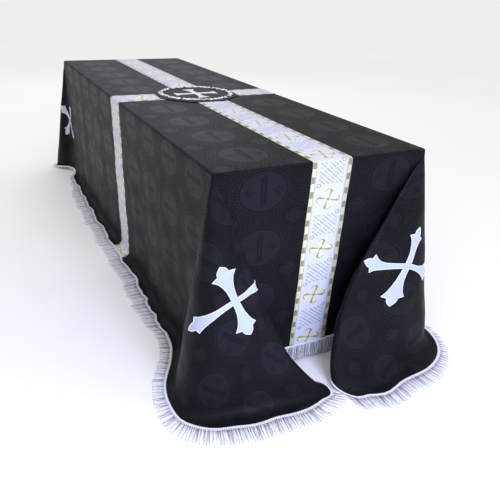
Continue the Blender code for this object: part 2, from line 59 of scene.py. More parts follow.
# Sizes, the same as the solids'.
TABLE_LENGTH, TABLE_WIDTH, TABLE_HEIGHT = 2.438, 0.762, 0.737
CLOTH, EDGE_BEND, FLOOR_BEND, FOLD_FADE = 0.0016, 0.009, 0.034, 0.090
DROP_SIDE, DROP_END, CORNER_RADIUS = 0.788, 0.672, 0.470
FLAT_X = TABLE_WIDTH / 2 + 0.0028 - EDGE_BEND
FLAT_Y = TABLE_LENGTH / 2 + 0.0028 - EDGE_BEND
TOP_Z = TABLE_HEIGHT + 0.0004 + CLOTH / 2
FLOOR_Z = CLOTH / 2 + 0.0009
FOOT_DROP = TOP_Z - FLOOR_Z
BAND_WIDTH, BAND_THICKNESS, BAND_ACROSS_AT, BAND_LENGTH_AT = 0.144, 0.0008, -0.115, 0.012
MEDALLION_AT, MEDALLION_RADIUS, WREATH_RADIUS, EMBLEM_ARM = (0.000, -0.105), 0.190, 0.163, 0.100
HEADING, STRAND, STRAND_PITCH, STRAND_RADIUS = 0.012, 0.058, 0.0043, 0.0017
GAP = 0.0003

# Where each flare meets the floor, as (across, along) from the foot of its table corner.
FLARES = {
    "near_left": (
        (0.000, 0.300), (-0.016, 0.235), (-0.056, 0.150), (-0.106, 0.060), (-0.130, -0.020),
        (-0.118, -0.090), (-0.064, -0.132), (0.020, -0.152), (0.105, -0.166), (0.180, -0.176),
        (0.235, -0.180), (0.268, -0.172), (0.272, -0.150), (0.236, -0.120), (0.160, -0.092),
        (0.065, -0.070), (-0.010, -0.058), (-0.046, -0.038), (-0.034, -0.012), (0.010, 0.000),
    ),
    "near_right": (
        (0.000, 0.280), (-0.022, 0.215), (-0.066, 0.140), (-0.096, 0.050), (-0.100, -0.030),
        (-0.080, -0.095), (-0.030, -0.140), (0.050, -0.166), (0.150, -0.178), (0.258, -0.180),
        (0.352, -0.172), (0.396, -0.156), (0.394, -0.132), (0.332, -0.110), (0.230, -0.088),
        (0.118, -0.068), (0.010, -0.056), (-0.030, -0.038), (-0.024, -0.012), (0.012, 0.000),
    ),
    "far_left": (
        (0.000, 0.120), (-0.004, 0.040), (-0.012, -0.030), (-0.034, -0.075), (-0.070, -0.105),
        (-0.098, -0.140), (-0.100, -0.186), (-0.053, -0.220), (0.025, -0.229), (0.120, -0.225),
        (0.203, -0.210), (0.252, -0.188), (0.254, -0.158), (0.210, -0.124), (0.145, -0.094),
        (0.080, -0.070), (0.040, -0.052), (0.022, -0.034), (0.020, -0.014), (0.036, 0.000),
    ),
    "far_right": (
        (0.000, 0.260), (-0.018, 0.200), (-0.058, 0.130), (-0.096, 0.045), (-0.106, -0.035),
        (-0.086, -0.105), (-0.030, -0.150), (0.050, -0.176), (0.140, -0.190), (0.230, -0.192),
        (0.300, -0.184), (0.336, -0.164), (0.328, -0.140), (0.266, -0.114), (0.172, -0.088),
        (0.075, -0.066), (0.000, -0.055), (-0.036, -0.037), (-0.028, -0.012), (0.010, 0.000),
    ),
}
# Which way the cloth lies out on the floor past each flare's folded edge, and behind it, in degrees.
FOLD_SPREAD = {"near_left": 52.0, "near_right": -4.0, "far_left": 20.0, "far_right": 15.0}
BEHIND_SPREAD = 175.0
# A flare's folded edge bows out or in by so much half way down, then sweeps out so far (across, along) at
# its foot. This grows on folds whose foot stands further in than the first distance, over the second one.
BOW = {"near_right": 0.078, "near_left": -0.026}
SWEEP = {"near_right": (0.0, -0.034), "near_left": (0.060, 0.0)}
BOWED_FROM, BOWED_OVER = 0.11, 0.16
# The powers of the drop that put the bow's widest place a little low and keep the sweep to the foot.
BOW_POWER, SWEEP_POWER = 1.3, 8
# The near end's middle leans so far at its foot, and less and less over this distance from its corners.
NEAR_LEAN, LEAN_OVER = 0.036, 0.28
# The fringe is drawn in under the flares' flanks, to this share of its length, from this angle in degrees.
FLANK_FRINGE = {
    "near_left": (0.60, 66), "near_right": (0.30, 62), "far_left": (0.22, 28), "far_right": (0.60, 66),
}
# Between these angles the hem lies inside the flare's fold, and no strands are drawn.
BARE = {
    "near_left": (20, 39), "near_right": (20, 41), "far_left": (20, 29), "far_right": (20, 39),
}
# How much further than its even outline the cloth reaches, as (angle in degrees, metres).
HEM_EXTRA = {
    "near_left": ((34, 0.0), (41, 0.030), (43, 0.016), (52, -0.016), (62, -0.026), (76, -0.020), (90, 0.0)),
    "near_right": ((36, 0.0), (43, 0.060), (47, 0.036), (58, -0.002), (72, -0.004), (90, 0.0)),
    "far_left": ((26, 0.0), (34, 0.034), (45, 0.012), (60, -0.034), (72, -0.080), (86, -0.064), (98, 0.0)),
    "far_right": ((33, 0.0), (41, 0.050), (45, 0.030), (56, -0.004), (66, -0.020), (80, -0.010), (90, 0.0)),
}
SIDES = {"near_left": (-1, -1), "near_right": (1, -1), "far_left": (-1, 1), "far_right": (1, 1)}
# The long sides' soft ripples, as (place along, width, how far the cloth stands out at the floor).
RIPPLES = {
    -1: (
        (-0.74, 0.09, 0.010), (-0.46, 0.10, -0.006), (0.12, 0.08, 0.005), (0.34, 0.10, 0.012),
        (0.70, 0.11, 0.007),
    ),
    1: ((-0.62, 0.11, 0.009), (-0.42, 0.10, -0.005), (0.22, 0.10, 0.010), (0.64, 0.12, 0.008)),
}
# Twice as many folds as the solid has between the same points.
STEPS_PER_POINT = 4
BEHIND_FOLDS, BLEND_FOLDS = 12, 6

# Small creases that the solid leaves out, each a soft ridge or trough along a line on the flat cloth. Its
# ends are (past the side edge, past the end edge) of a corner's quarter, then come its width and height.
CREASES = {
    "near_left": (
        ((0.02, 0.02), (0.30, 0.36), 0.020, 0.0035), ((0.03, 0.00), (0.26, -0.02), 0.016, 0.0030),
        ((0.00, 0.04), (0.07, 0.30), 0.014, -0.0030), ((0.10, -0.18), (0.80, -0.16), 0.040, 0.0040),
        ((0.14, -0.42), (0.80, -0.40), 0.034, 0.0035), ((0.08, -0.64), (0.80, -0.62), 0.042, 0.0045),
        ((0.22, 0.16), (0.66, 0.24), 0.050, 0.0026), ((0.30, 0.40), (0.52, 0.52), 0.030, -0.0035),
        ((0.12, 0.20), (0.40, 0.52), 0.018, 0.0030), ((0.20, -0.86), (0.78, -0.85), 0.030, 0.0040),
    ),
    "near_right": (
        ((0.02, 0.02), (0.26, 0.40), 0.022, 0.0035), ((0.00, 0.04), (0.10, 0.34), 0.016, -0.0030),
        ((0.12, 0.22), (0.44, 0.50), 0.020, 0.0035), ((0.26, 0.16), (0.70, 0.22), 0.034, 0.0050),
        ((0.12, -0.22), (0.80, -0.20), 0.040, 0.0040), ((0.10, -0.50), (0.80, -0.48), 0.040, 0.0045),
        ((0.16, -0.78), (0.78, -0.77), 0.034, 0.0035),
    ),
    "far_left": (
        ((0.02, 0.02), (0.32, 0.30), 0.020, 0.0035), ((0.06, -0.08), (0.78, -0.06), 0.036, 0.0045),
        ((0.10, -0.30), (0.80, -0.28), 0.034, 0.0035), ((0.08, -0.52), (0.80, -0.50), 0.044, 0.0045),
        ((0.16, -0.76), (0.80, -0.75), 0.034, 0.0035), ((0.24, 0.10), (0.60, 0.16), 0.030, 0.0040),
        ((0.10, -0.98), (0.78, -0.97), 0.034, 0.0035),
    ),
    "far_right": (
        ((0.02, 0.02), (0.28, 0.36), 0.022, 0.0035), ((0.12, 0.22), (0.44, 0.50), 0.020, 0.0035),
        ((0.24, 0.14), (0.66, 0.20), 0.034, 0.0050), ((0.10, -0.26), (0.80, -0.24), 0.040, 0.0040),
        ((0.10, -0.58), (0.80, -0.56), 0.040, 0.0045), ((0.16, -0.92), (0.78, -0.90), 0.034, 0.0035),
    ),
}


def smooth(t):
    t = min(1.0, max(0.0, t))
    return t * t * (3 - 2 * t)


def mixed(a, b, t):
    return a + (b - a) * t


def curve_through(points, steps):
    """Points of a smooth curve through the given ones, with so many steps from each to the next."""
    found = []
    for i in range(len(points) - 1):
        before, after = points[max(i - 1, 0)], points[min(i + 2, len(points) - 1)]
        for k in range(steps):
            t = k / steps
            found.append(tuple(
                0.5 * (
                    2 * b + (c - a) * t + (2 * a - 5 * b + 4 * c - d) * t * t
                    + (3 * b - a - 3 * c + d) * t ** 3
                )
                for a, b, c, d in zip(before, points[i], points[i + 1], after)
            ))
    return found + [points[-1]]


def rounded_reach(angle):
    """From the table's corner to the cloth's rounded outline, at a flat angle from the end."""
    s, c = math.sin(angle), math.cos(angle)
    to_end = DROP_END / c if c > 1e-6 else math.inf
    to_side = DROP_SIDE / s if s > 1e-6 else math.inf
    centre_x, centre_y = DROP_SIDE - CORNER_RADIUS, DROP_END - CORNER_RADIUS
    if s * to_end < centre_x:
        return to_end
    if c * to_side < centre_y:
        return to_side
    along = centre_x * s + centre_y * c
    return along + math.sqrt(along ** 2 - centre_x ** 2 - centre_y ** 2 + CORNER_RADIUS ** 2)


class Flare:
    """The cone of cloth at one table corner. Its folds run straight from the corner, one per flat angle."""

    def __init__(self, name):
        self.side_x, self.side_y = SIDES[name]
        self.extra = HEM_EXTRA[name]
        self.bow, self.sweep = BOW.get(name, 0.0), SWEEP.get(name, (0.0, 0.0))
        feet = curve_through(FLARES[name], STEPS_PER_POINT)[::-1]
        self.ways = [Vector((p, q, -FOOT_DROP)).normalized() for p, q in feet]
        lengths = [0.0]
        for a, b in zip(self.ways, self.ways[1:]):
            lengths.append(lengths[-1] + a.angle(b))
        self.first = -math.atan2(feet[0][0], FOOT_DROP)
        self.last = math.pi / 2 + math.atan2(feet[-1][1], FOOT_DROP)
        scale = (self.last - self.first) / lengths[-1]
        self.angles = [self.first + length * scale for length in lengths]
        reach = max(p for p, _ in feet)
        self.outwards = []
        for i in range(len(feet)):
            before, after = feet[max(i - 1, 0)], feet[min(i + 1, len(feet) - 1)]
            self.outwards.append(-Vector((after[1] - before[1], before[0] - after[0], 0.0)).normalized())
        turn = max(i for i, (p, _) in enumerate(feet) if p > reach - 0.030)
        for i in range(turn + BLEND_FOLDS):
            spread = math.radians(mixed(FOLD_SPREAD[name], BEHIND_SPREAD, smooth((turn - i) / BEHIND_FOLDS)))
            held = Vector((math.sin(spread), -math.cos(spread), 0.0))
            self.outwards[i] = mixed(held, self.outwards[i], smooth((i - turn) / BLEND_FOLDS)).normalized()

    def hem(self, angle):
        """How far the cloth reaches at a flat angle. The hem isn't cut evenly."""
        degrees = math.degrees(angle)
        for (a, extra_a), (b, extra_b) in zip(self.extra, self.extra[1:]):
            if a <= degrees <= b:
                return rounded_reach(angle) + mixed(extra_a, extra_b, smooth((degrees - a) / (b - a)))
        return rounded_reach(angle)

    def point(self, angle, reach):
        """Where the flat point at this angle and distance from the corner hangs."""
        angle = min(self.last, max(self.first, angle))
        i = min(len(self.angles) - 2, max(0, bisect_left(self.angles, angle) - 1))
        t = (angle - self.angles[i]) / (self.angles[i + 1] - self.angles[i])
        way = mixed(self.ways[i], self.ways[i + 1], t).normalized()
        out = mixed(self.outwards[i], self.outwards[i + 1], t).normalized()
        share = min(1.0, max(0.0, angle / (math.pi / 2)))
        over = Vector((-math.sin(share * math.pi / 2), -math.cos(share * math.pi / 2), 0.0))
        plain = (Vector((0, 0, -1)) + 0.10 * over).normalized()
        place = hung(over, mixed(plain, way, smooth(reach / FOLD_FADE)).normalized(), out, reach)
        far_out = smooth((FOOT_DROP * way.x / -way.z - BOWED_FROM) / BOWED_OVER)
        drop = min(1.0, -place.z / FOOT_DROP)
        foot = drop ** SWEEP_POWER
        place.x += far_out * (self.bow * math.sin(math.pi * drop ** BOW_POWER) + self.sweep[0] * foot)
        place.y += far_out * self.sweep[1] * foot
        return Vector((
            self.side_x * (FLAT_X - place.x), self.side_y * (FLAT_Y - place.y), TOP_Z + place.z,
        ))


def bend(first, corner, last, t):
    return mixed(mixed(first, corner, t), mixed(corner, last, t), t)


def hung(over, way, out, reach):
    """Cloth from a table edge: over it, down the way it hangs, and out along the floor if it is long."""
    edge = over * EDGE_BEND
    if reach < 2 * EDGE_BEND:
        return bend(Vector((0, 0, 0)), edge, edge + way * EDGE_BEND, reach / (2 * EDGE_BEND))
    foot = (FOOT_DROP / -way.z) if way.z < 0 else math.inf
    down = reach - EDGE_BEND
    if down < foot - FLOOR_BEND:
        return edge + way * down
    floor = edge + way * foot
    t = (down - foot + FLOOR_BEND) / (2 * FLOOR_BEND)
    if t < 1:
        return bend(floor - way * FLOOR_BEND, floor, floor + out * FLOOR_BEND, t)
    return floor + out * (down - foot)


FLARE = {name: Flare(name) for name in FLARES}


def quarter(x, y):
    return ("near" if y < 0 else "far") + ("_left" if x < 0 else "_right")


def draped(x, y):
    """Where the point (x, y) of the flat cloth lies once it is draped."""
    past_x, past_y = abs(x) - FLAT_X, abs(y) - FLAT_Y
    if past_x <= 0 and past_y <= 0:
        return Vector((x, y, TOP_Z))
    side_x, side_y = (-1 if x < 0 else 1), (-1 if y < 0 else 1)
    flare = FLARE[quarter(x, y)]
    angle = math.atan2(past_x, past_y)
    if flare.first <= angle <= flare.last:
        return flare.point(angle, math.hypot(past_x, past_y))
    down = Vector((0, 0, -1))
    if past_y > 0 and past_x < past_y:
        place = hung(Vector((0, 1, 0)), down, Vector((0, 1, 0)), past_y)
        lean = NEAR_LEAN * smooth((FLAT_X - abs(x)) / LEAN_OVER) * -place.z / FOOT_DROP if y < 0 else 0.0
        return Vector((x - lean, side_y * (FLAT_Y + place.y), TOP_Z + place.z))
    place = hung(Vector((1, 0, 0)), down, Vector((1, 0, 0)), past_x)
    stands = sum(depth * math.exp(-(((y - at) / width) ** 2)) for at, width, depth in RIPPLES[side_x])
    out = FLAT_X + place.x + stands * smooth(past_x / FOOT_DROP)
    return Vector((side_x * out, y, TOP_Z + place.z))


def crease(x, y, z):
    """How far the cloth stands off its main folds here."""
    past_x, past_y = abs(x) - FLAT_X, abs(y) - FLAT_Y
    total = 0.0
    for (x0, y0), (x1, y1), width, height in CREASES[quarter(x, y)]:
        dx, dy = x1 - x0, y1 - y0
        length = dx * dx + dy * dy
        t = ((past_x - x0) * dx + (past_y - y0) * dy) / length
        if -0.02 < t < 1.02:
            aside = ((past_x - x0) * dy - (past_y - y0) * dx) / math.sqrt(length)
            fade = smooth(t / 0.3) * smooth((1 - t) / 0.12)
            total += height * fade * math.exp(-((aside / width) ** 2))
    if past_x > 0 or past_y > 0:
        slack = smooth(max(past_x, past_y) / 0.30)
        total += slack * 0.0011 * (math.sin(x * 31 + y * 17) + math.sin(y * 43 - x * 11 + 1.3))
    return total if total > 0 else total * smooth((z - 0.02) / 0.10)


def surface(x, y, height=0.0):
    """A point so high over the middle of the draped and creased cloth."""
    step = 0.002
    here = draped(x, y)
    along_x = draped(x + step, y) - draped(x - step, y)
    along_y = draped(x, y + step) - draped(x, y - step)
    return here + along_x.cross(along_y).normalized() * (height + crease(x, y, here.z))


class Station:
    """One line of the flat cloth from the edge of the table's top to the hem."""

    def __init__(self, start, way, length, foot, bare=False, fringe=1.0):
        self.start, self.way, self.length, self.foot = start, way, length, foot
        self.bare, self.fringe = bare, fringe

    def flat(self, reach):
        return (self.start[0] + self.way[0] * reach, self.start[1] + self.way[1] * reach)

    def rows(self):
        """Distances from the top's edge: over it, down, round the bend at the floor and out to the hem."""
        begin = 2 * EDGE_BEND
        bent = min(self.foot - FLOOR_BEND + EDGE_BEND, self.length * 0.97)
        turned = min(bent + 2 * FLOOR_BEND, mixed(bent, self.length, 0.6))
        return (
            [0.0, 0.003, 0.006, 0.009, 0.0135] + [mixed(begin, bent, k / 36) for k in range(36)]
            + [mixed(bent, turned, k / 7) for k in range(7)]
            + [mixed(turned, self.length, k / 5) for k in range(6)]
        )


def straight_station(start, end, drop):
    length = math.hypot(end[0] - start[0], end[1] - start[1])
    way = ((end[0] - start[0]) / length, (end[1] - start[1]) / length)
    return Station(start, way, length, FOOT_DROP * length / drop)


def spaced(first, last, most):
    """Evenly spaced values from the first to the last, both among them."""
    count = max(1, math.ceil(abs(last - first) / most))
    return [mixed(first, last, k / count) for k in range(count + 1)]


def across_band(middle, edge, most):
    """Places from one edge to the other, with the band's two edges and three lines inside it among them."""
    low, high = middle - BAND_WIDTH / 2, middle + BAND_WIDTH / 2
    inner = [mixed(low, high, k / 4) for k in range(1, 4)]
    return spaced(-edge, low, most)[1:] + inner + spaced(high, edge, most)[:-1]


END_XS = across_band(BAND_LENGTH_AT, FLAT_X, 0.045)
SIDE_YS = across_band(BAND_ACROSS_AT, FLAT_Y, 0.042)


def hem_wave(y):
    """The side's hem isn't straight: it wanders in and out every 0.1 to 0.3 m."""
    return 0.005 * math.sin(y * 23.0 + 1.0) + 0.0035 * math.sin(y * 49.0) + 0.003 * math.sin(y * 11.0 + 2.0)


def flare_stations(name):
    flare = FLARE[name]
    found = []
    for angle, way in zip(flare.angles, flare.ways):
        flat_way = (flare.side_x * math.sin(angle), flare.side_y * math.cos(angle))
        start = (flare.side_x * FLAT_X, flare.side_y * FLAT_Y)
        bare = BARE[name][0] <= math.degrees(angle) <= BARE[name][1]
        share, begins = FLANK_FRINGE[name]
        fringe = mixed(1.0, share, smooth((math.degrees(angle) - begins) / 18))
        found.append(Station(start, flat_way, flare.hem(angle), FOOT_DROP / -way.z, bare, fringe))
    return found


def side_stations(side_x):
    """Those next to a flare lean away from it."""
    found = []
    for y in SIDE_YS:
        lean = DROP_SIDE * math.tan(FLARE[quarter(side_x, y)].last - math.pi / 2)
        end_y = y - math.copysign(lean * max(0.0, 1 - (FLAT_Y - abs(y)) / 0.70), y)
        drop = DROP_SIDE + hem_wave(y) * smooth((FLAT_Y - abs(y)) / 0.15)
        found.append(straight_station((side_x * FLAT_X, y), (side_x * (FLAT_X + drop), end_y), drop))
        found[-1].fringe = mixed(FLANK_FRINGE[quarter(side_x, y)][0], 1.0, smooth((FLAT_Y - abs(y)) / 0.45))
    return found


def end_stations(side_y):
    y = side_y * FLAT_Y
    return [straight_station((x, y), (x, y + side_y * DROP_END), DROP_END) for x in END_XS]


STATIONS = {
    "near": end_stations(-1), "near_right": flare_stations("near_right"), "right": side_stations(1),
    "far_right": flare_stations("far_right")[::-1], "far": end_stations(1)[::-1],
    "far_left": flare_stations("far_left"), "left": side_stations(-1)[::-1],
    "near_left": flare_stations("near_left")[::-1],
}


# Making pieces.

def pick(*objs):
    """Selects just these, and makes the first one active."""
    bpy.ops.object.select_all(action="DESELECT")
    for obj in objs:
        obj.select_set(True)
    bpy.context.view_layer.objects.active = objs[0]


def link(name, mesh, material, replaced=(), smooth_angle=180):
    """Puts a mesh into the scene as a piece with its finish, and hides the solids that it stands for."""
    obj = bpy.data.objects.new(name, mesh)
    bpy.context.scene.collection.objects.link(obj)
    return dressed(obj, name, material, replaced, smooth_angle)


def dressed(obj, name, material, replaced=(), smooth_angle=180):
    obj.name = obj.data.name = name
    obj.data.materials.clear()
    obj.data.materials.append(material)
    pick(obj)
    bpy.ops.object.transform_apply(location=True, rotation=True, scale=True)
    if smooth_angle == 180:
        bpy.ops.object.shade_smooth()
    else:
        bpy.ops.object.shade_smooth_by_angle(angle=math.radians(smooth_angle))
    obj.select_set(False)
    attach(obj, "root")
    if replaced:
        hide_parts(*replaced)
    return obj


def apply(obj, kind, **settings):
    """Adds a modifier, sets it and applies it."""
    pick(obj)
    modifier = obj.modifiers.new(kind.title(), kind)
    for key, value in settings.items():
        setattr(modifier, key, value)
    bpy.ops.object.modifier_apply(modifier=modifier.name)


class Sheet:
    """A piece of cloth made from faces between flat points, each laid where the drape takes it."""

    def __init__(self, height):
        self.height, self.work, self.found, self.flats = height, bmesh.new(), {}, []

    def vertex(self, x, y, pattern=None):
        key = (round(x, 5), round(y, 5))
        if key not in self.found:
            self.found[key] = self.work.verts.new(surface(x, y, self.height))
            self.flats.append(pattern or (x, y))
        return self.found[key]

    def face(self, *corners):
        corners = [v for k, v in enumerate(corners) if v is not corners[k - 1]]
        if len(corners) > 2:
            self.work.faces.new(corners)

    def grid(self, rows):
        """Rows of the vertices' flat points."""
        made = [[self.vertex(*spot) for spot in row] for row in rows]
        for a, b in zip(made, made[1:]):
            for k in range(len(a) - 1):
                self.face(a[k], a[k + 1], b[k + 1], b[k])

    def mesh(self, name, facing, thickness):
        """Faces turned outwards at the flat point given, with the flat places kept for the weave."""
        bmesh.ops.recalc_face_normals(self.work, faces=self.work.faces)
        out = surface(*facing, 1.0) - surface(*facing, 0.0)
        here = surface(*facing, self.height)
        near = min(self.work.faces, key=lambda face: (face.calc_center_median() - here).length)
        if near.normal.dot(out) < 0:
            bmesh.ops.reverse_faces(self.work, faces=self.work.faces)
        self.work.verts.index_update()
        flat = self.work.loops.layers.uv.new("flat")
        for face in self.work.faces:
            for corner in face.loops:
                corner[flat].uv = self.flats[corner.vert.index]
        mesh = bpy.data.meshes.new(name)
        self.work.to_mesh(mesh)
        self.work.free()
        holder = bpy.data.objects.new(name, mesh)
        bpy.context.scene.collection.objects.link(holder)
        apply(holder, "SOLIDIFY", thickness=thickness, offset=0.0, use_even_offset=False)
        bpy.data.objects.remove(holder)
        return mesh


# Past the table's edge the photograph shows the pattern's rows closer together than on the top.
DROP_SCALE = 0.78


def stretched(value, edge):
    past = abs(value) - edge
    return value if past <= 0 else math.copysign(edge + past / DROP_SCALE, value)


def woven(x, y):
    """The weave's own coordinates: metres across, and metres along from the near edge of the top."""
    return (stretched(x, FLAT_X + EDGE_BEND), stretched(y, FLAT_Y + EDGE_BEND) + FLAT_Y + EDGE_BEND)


def pall(material):
    sheet = Sheet(0.0)
    columns = []
    for stations in STATIONS.values():
        for station in stations:
            columns.append([])
            for reach in station.rows():
                spot = station.flat(reach)
                columns[-1].append(sheet.vertex(*spot, woven(*spot)))
    for a, b in zip(columns, columns[1:] + columns[:1]):
        for k in range(len(a) - 1):
            sheet.face(a[k], a[k + 1], b[k + 1], b[k])
    xs, ys = [-FLAT_X] + END_XS + [FLAT_X], [-FLAT_Y] + SIDE_YS + [FLAT_Y]
    sheet.grid([[(x, y, woven(x, y)) for x in xs] for y in ys])
    mesh = sheet.mesh("pall", (0.2, 0.3), CLOTH)
    return link("pall", mesh, material, ["pall_cloth"])


def band(name, rows, facing, material, node):
    sheet = Sheet(CLOTH / 2 + GAP + BAND_THICKNESS / 2)
    sheet.grid(rows)
    return link(name, sheet.mesh(name, facing, BAND_THICKNESS), material, [node])


def bands(material):
    near = [s for s in STATIONS["near"] if abs(s.start[0] - BAND_LENGTH_AT) < BAND_WIDTH * 0.51]
    xs, down = [s.start[0] for s in near], near[0].rows()
    ys = [-(FLAT_Y + d) for d in reversed(down)] + SIDE_YS + [FLAT_Y + d for d in down]
    rows = [[(x, y, (x - BAND_LENGTH_AT, woven(x, y)[1])) for x in xs] for y in ys]
    made = [band("band_long", rows, (0.02, 0.4), material, "band_length")]
    for name, side, inner in (("left", -1, xs[0] - 0.001), ("right", 1, xs[-1] + 0.001)):
        across = [s for s in STATIONS[name] if abs(s.start[1] - BAND_ACROSS_AT) < BAND_WIDTH * 0.51]
        outer = [x for x in END_XS[::side] if side * x > side * inner + 0.002]
        rows = [
            [(x, s.start[1], (s.start[1] - BAND_ACROSS_AT, 2 + abs(x))) for s in across]
            for x in [inner] + outer
        ]
        for k, d in enumerate(across[0].rows()):
            row = []
            for s in across:
                x, y = s.flat(s.rows()[k])
                row.append((x, y, (s.start[1] - BAND_ACROSS_AT, 2 + abs(woven(x, y)[0]))))
            rows.append(row)
        facing = (side * 0.3, BAND_ACROSS_AT)
        made.append(band("band_" + name + "_arm", rows, facing, material, "band_" + name))
    return made


# One arm of a corner cross from its middle out: (distance, half width). It widens and ends in three points.
ARM = (
    (0.0085, 0.0085), (0.030, 0.0088), (0.056, 0.0108), (0.080, 0.0158), (0.098, 0.0217), (0.110, 0.0285),
    (0.116, 0.0335), (0.119, 0.0240), (0.123, 0.0155), (0.131, 0.0150), (0.139, 0.0125), (0.147, 0.0065),
    (0.153, 0.0006),
)
# Each cross's place on its flare, as (distance from the corner, share of the flare's angles), then its size
# against the drawn one, down the flare and across it, and its turn in degrees.
CROSSES = {
    "near_left": (0.390, 0.497, 0.78, 1.36, 6.0), "near_right": (0.408, 0.535, 0.90, 0.86, 0.0),
    "far_left": (0.386, 0.890, 0.90, 0.92, 0.0), "far_right": (0.410, 0.500, 1.0, 1.0, 0.0),
}
APPLIQUE, APPLIQUE_GAP, CORD_RADIUS = 0.0009, 0.0004, 0.0018


def corner_cross(name, satin, cord):
    """A satin cross laid on a flare and creased along its folds, with a raised cord sewn round its edge."""
    flare = FLARE[name]
    reach, share, long, wide, turned = CROSSES[name]
    down = Vector((flare.side_x, flare.side_y, 0.0)).normalized()
    over = Vector((-down.y, down.x, 0.0))
    angle = mixed(flare.first, flare.last, share)
    centre = Vector((
        flare.side_x * (FLAT_X + reach * math.sin(angle)),
        flare.side_y * (FLAT_Y + reach * math.cos(angle)),
        0.0,
    ))
    work = bmesh.new()
    columns = [k / 3 for k in range(-3, 4)]
    middle = ARM[0][0]
    outline = []
    for turn in range(4):
        way = Matrix.Rotation(math.radians(45 + 90 * turn), 3, "Z")
        aslant = Matrix.Rotation(math.radians(turned), 3, "Z")

        def spot(out, aside):
            drawn = way @ Vector((out, aside, 0.0))
            return centre + aslant @ (down * drawn.dot(down) * long + over * drawn.dot(over) * wide)

        rows = [[spot(middle * k / 3, c * middle * k / 3) for c in columns] for k in (0, 1, 2)]
        edges = []
        for (d0, h0), (d1, h1) in zip(ARM, ARM[1:]):
            for t in spaced(0.0, 1.0, 0.006 / math.hypot(d1 - d0, h1 - h0))[:-1]:
                edges.append((mixed(d0, d1, t), mixed(h0, h1, t)))
        edges.append(ARM[-1])
        rows += [[spot(d, c * h) for c in columns] for d, h in edges]
        outline += [spot(d, -h) for d, h in edges] + [spot(d, h) for d, h in reversed(edges[1:])]
        made = [[work.verts.new(place) for place in row] for row in rows]
        for a, b in zip(made, made[1:]):
            for k in range(len(a) - 1):
                work.faces.new((a[k], a[k + 1], b[k + 1], b[k]))
    bmesh.ops.remove_doubles(work, verts=work.verts, dist=0.0001)
    bmesh.ops.dissolve_degenerate(work, edges=work.edges, dist=0.00005)
    corner = Vector((flare.side_x * FLAT_X, flare.side_y * FLAT_Y, 0.0))
    for fold in flare.angles:
        bmesh.ops.bisect_plane(
            work, geom=work.verts[:] + work.edges[:] + work.faces[:], dist=0.0002, plane_co=corner,
            plane_no=(flare.side_x * math.cos(fold), -flare.side_y * math.sin(fold), 0.0),
        )
    height = CLOTH / 2 + APPLIQUE_GAP + APPLIQUE / 2
    flats = [(v.co.x, v.co.y) for v in work.verts]
    for v, (x, y) in zip(work.verts, flats):
        v.co = surface(x, y, height)
    sheet = Sheet(height)
    sheet.work.free()
    sheet.work, sheet.flats = work, [(x - centre.x, y - centre.y) for x, y in flats]
    mesh = sheet.mesh("cross_" + name, (centre.x, centre.y), APPLIQUE)
    piece = link("satin_cross_" + name, mesh, satin, ["cross_" + name])
    sewn = [surface(place.x, place.y, height + 0.0011) for place in outline]
    edge = link("cross_cord_" + name, tube("cross_cord_" + name, sewn, CORD_RADIUS), cord)
    return piece, edge


def tube(name, points, radius, closed=True):
    """A round cord along some points, as a mesh."""
    curve = bpy.data.curves.new(name, "CURVE")
    curve.dimensions = "3D"
    curve.bevel_depth, curve.bevel_resolution, curve.use_fill_caps = radius, 1, not closed
    line = curve.splines.new("POLY")
    line.points.add(len(points) - 1)
    for knot, place in zip(line.points, points):
        knot.co = (*place, 1.0)
    line.use_cyclic_u = closed
    holder = bpy.data.objects.new(name, curve)
    bpy.context.scene.collection.objects.link(holder)
    pick(holder)
    bpy.ops.object.convert(target="MESH")
    mesh = holder.data
    bpy.data.objects.remove(holder)
    return mesh


# The fringe.

# The heading braid's outline: (distance past the hem, height over the cloth's middle).
HEADING_OUTLINE = (
    (-0.0030, 0.0011), (-0.0024, 0.0020), (0.0008, 0.0025), (0.0040, 0.0022), (0.0072, 0.0014),
    (0.0072, -0.0008), (0.0022, -0.0008), (0.0014, 0.0009),
)


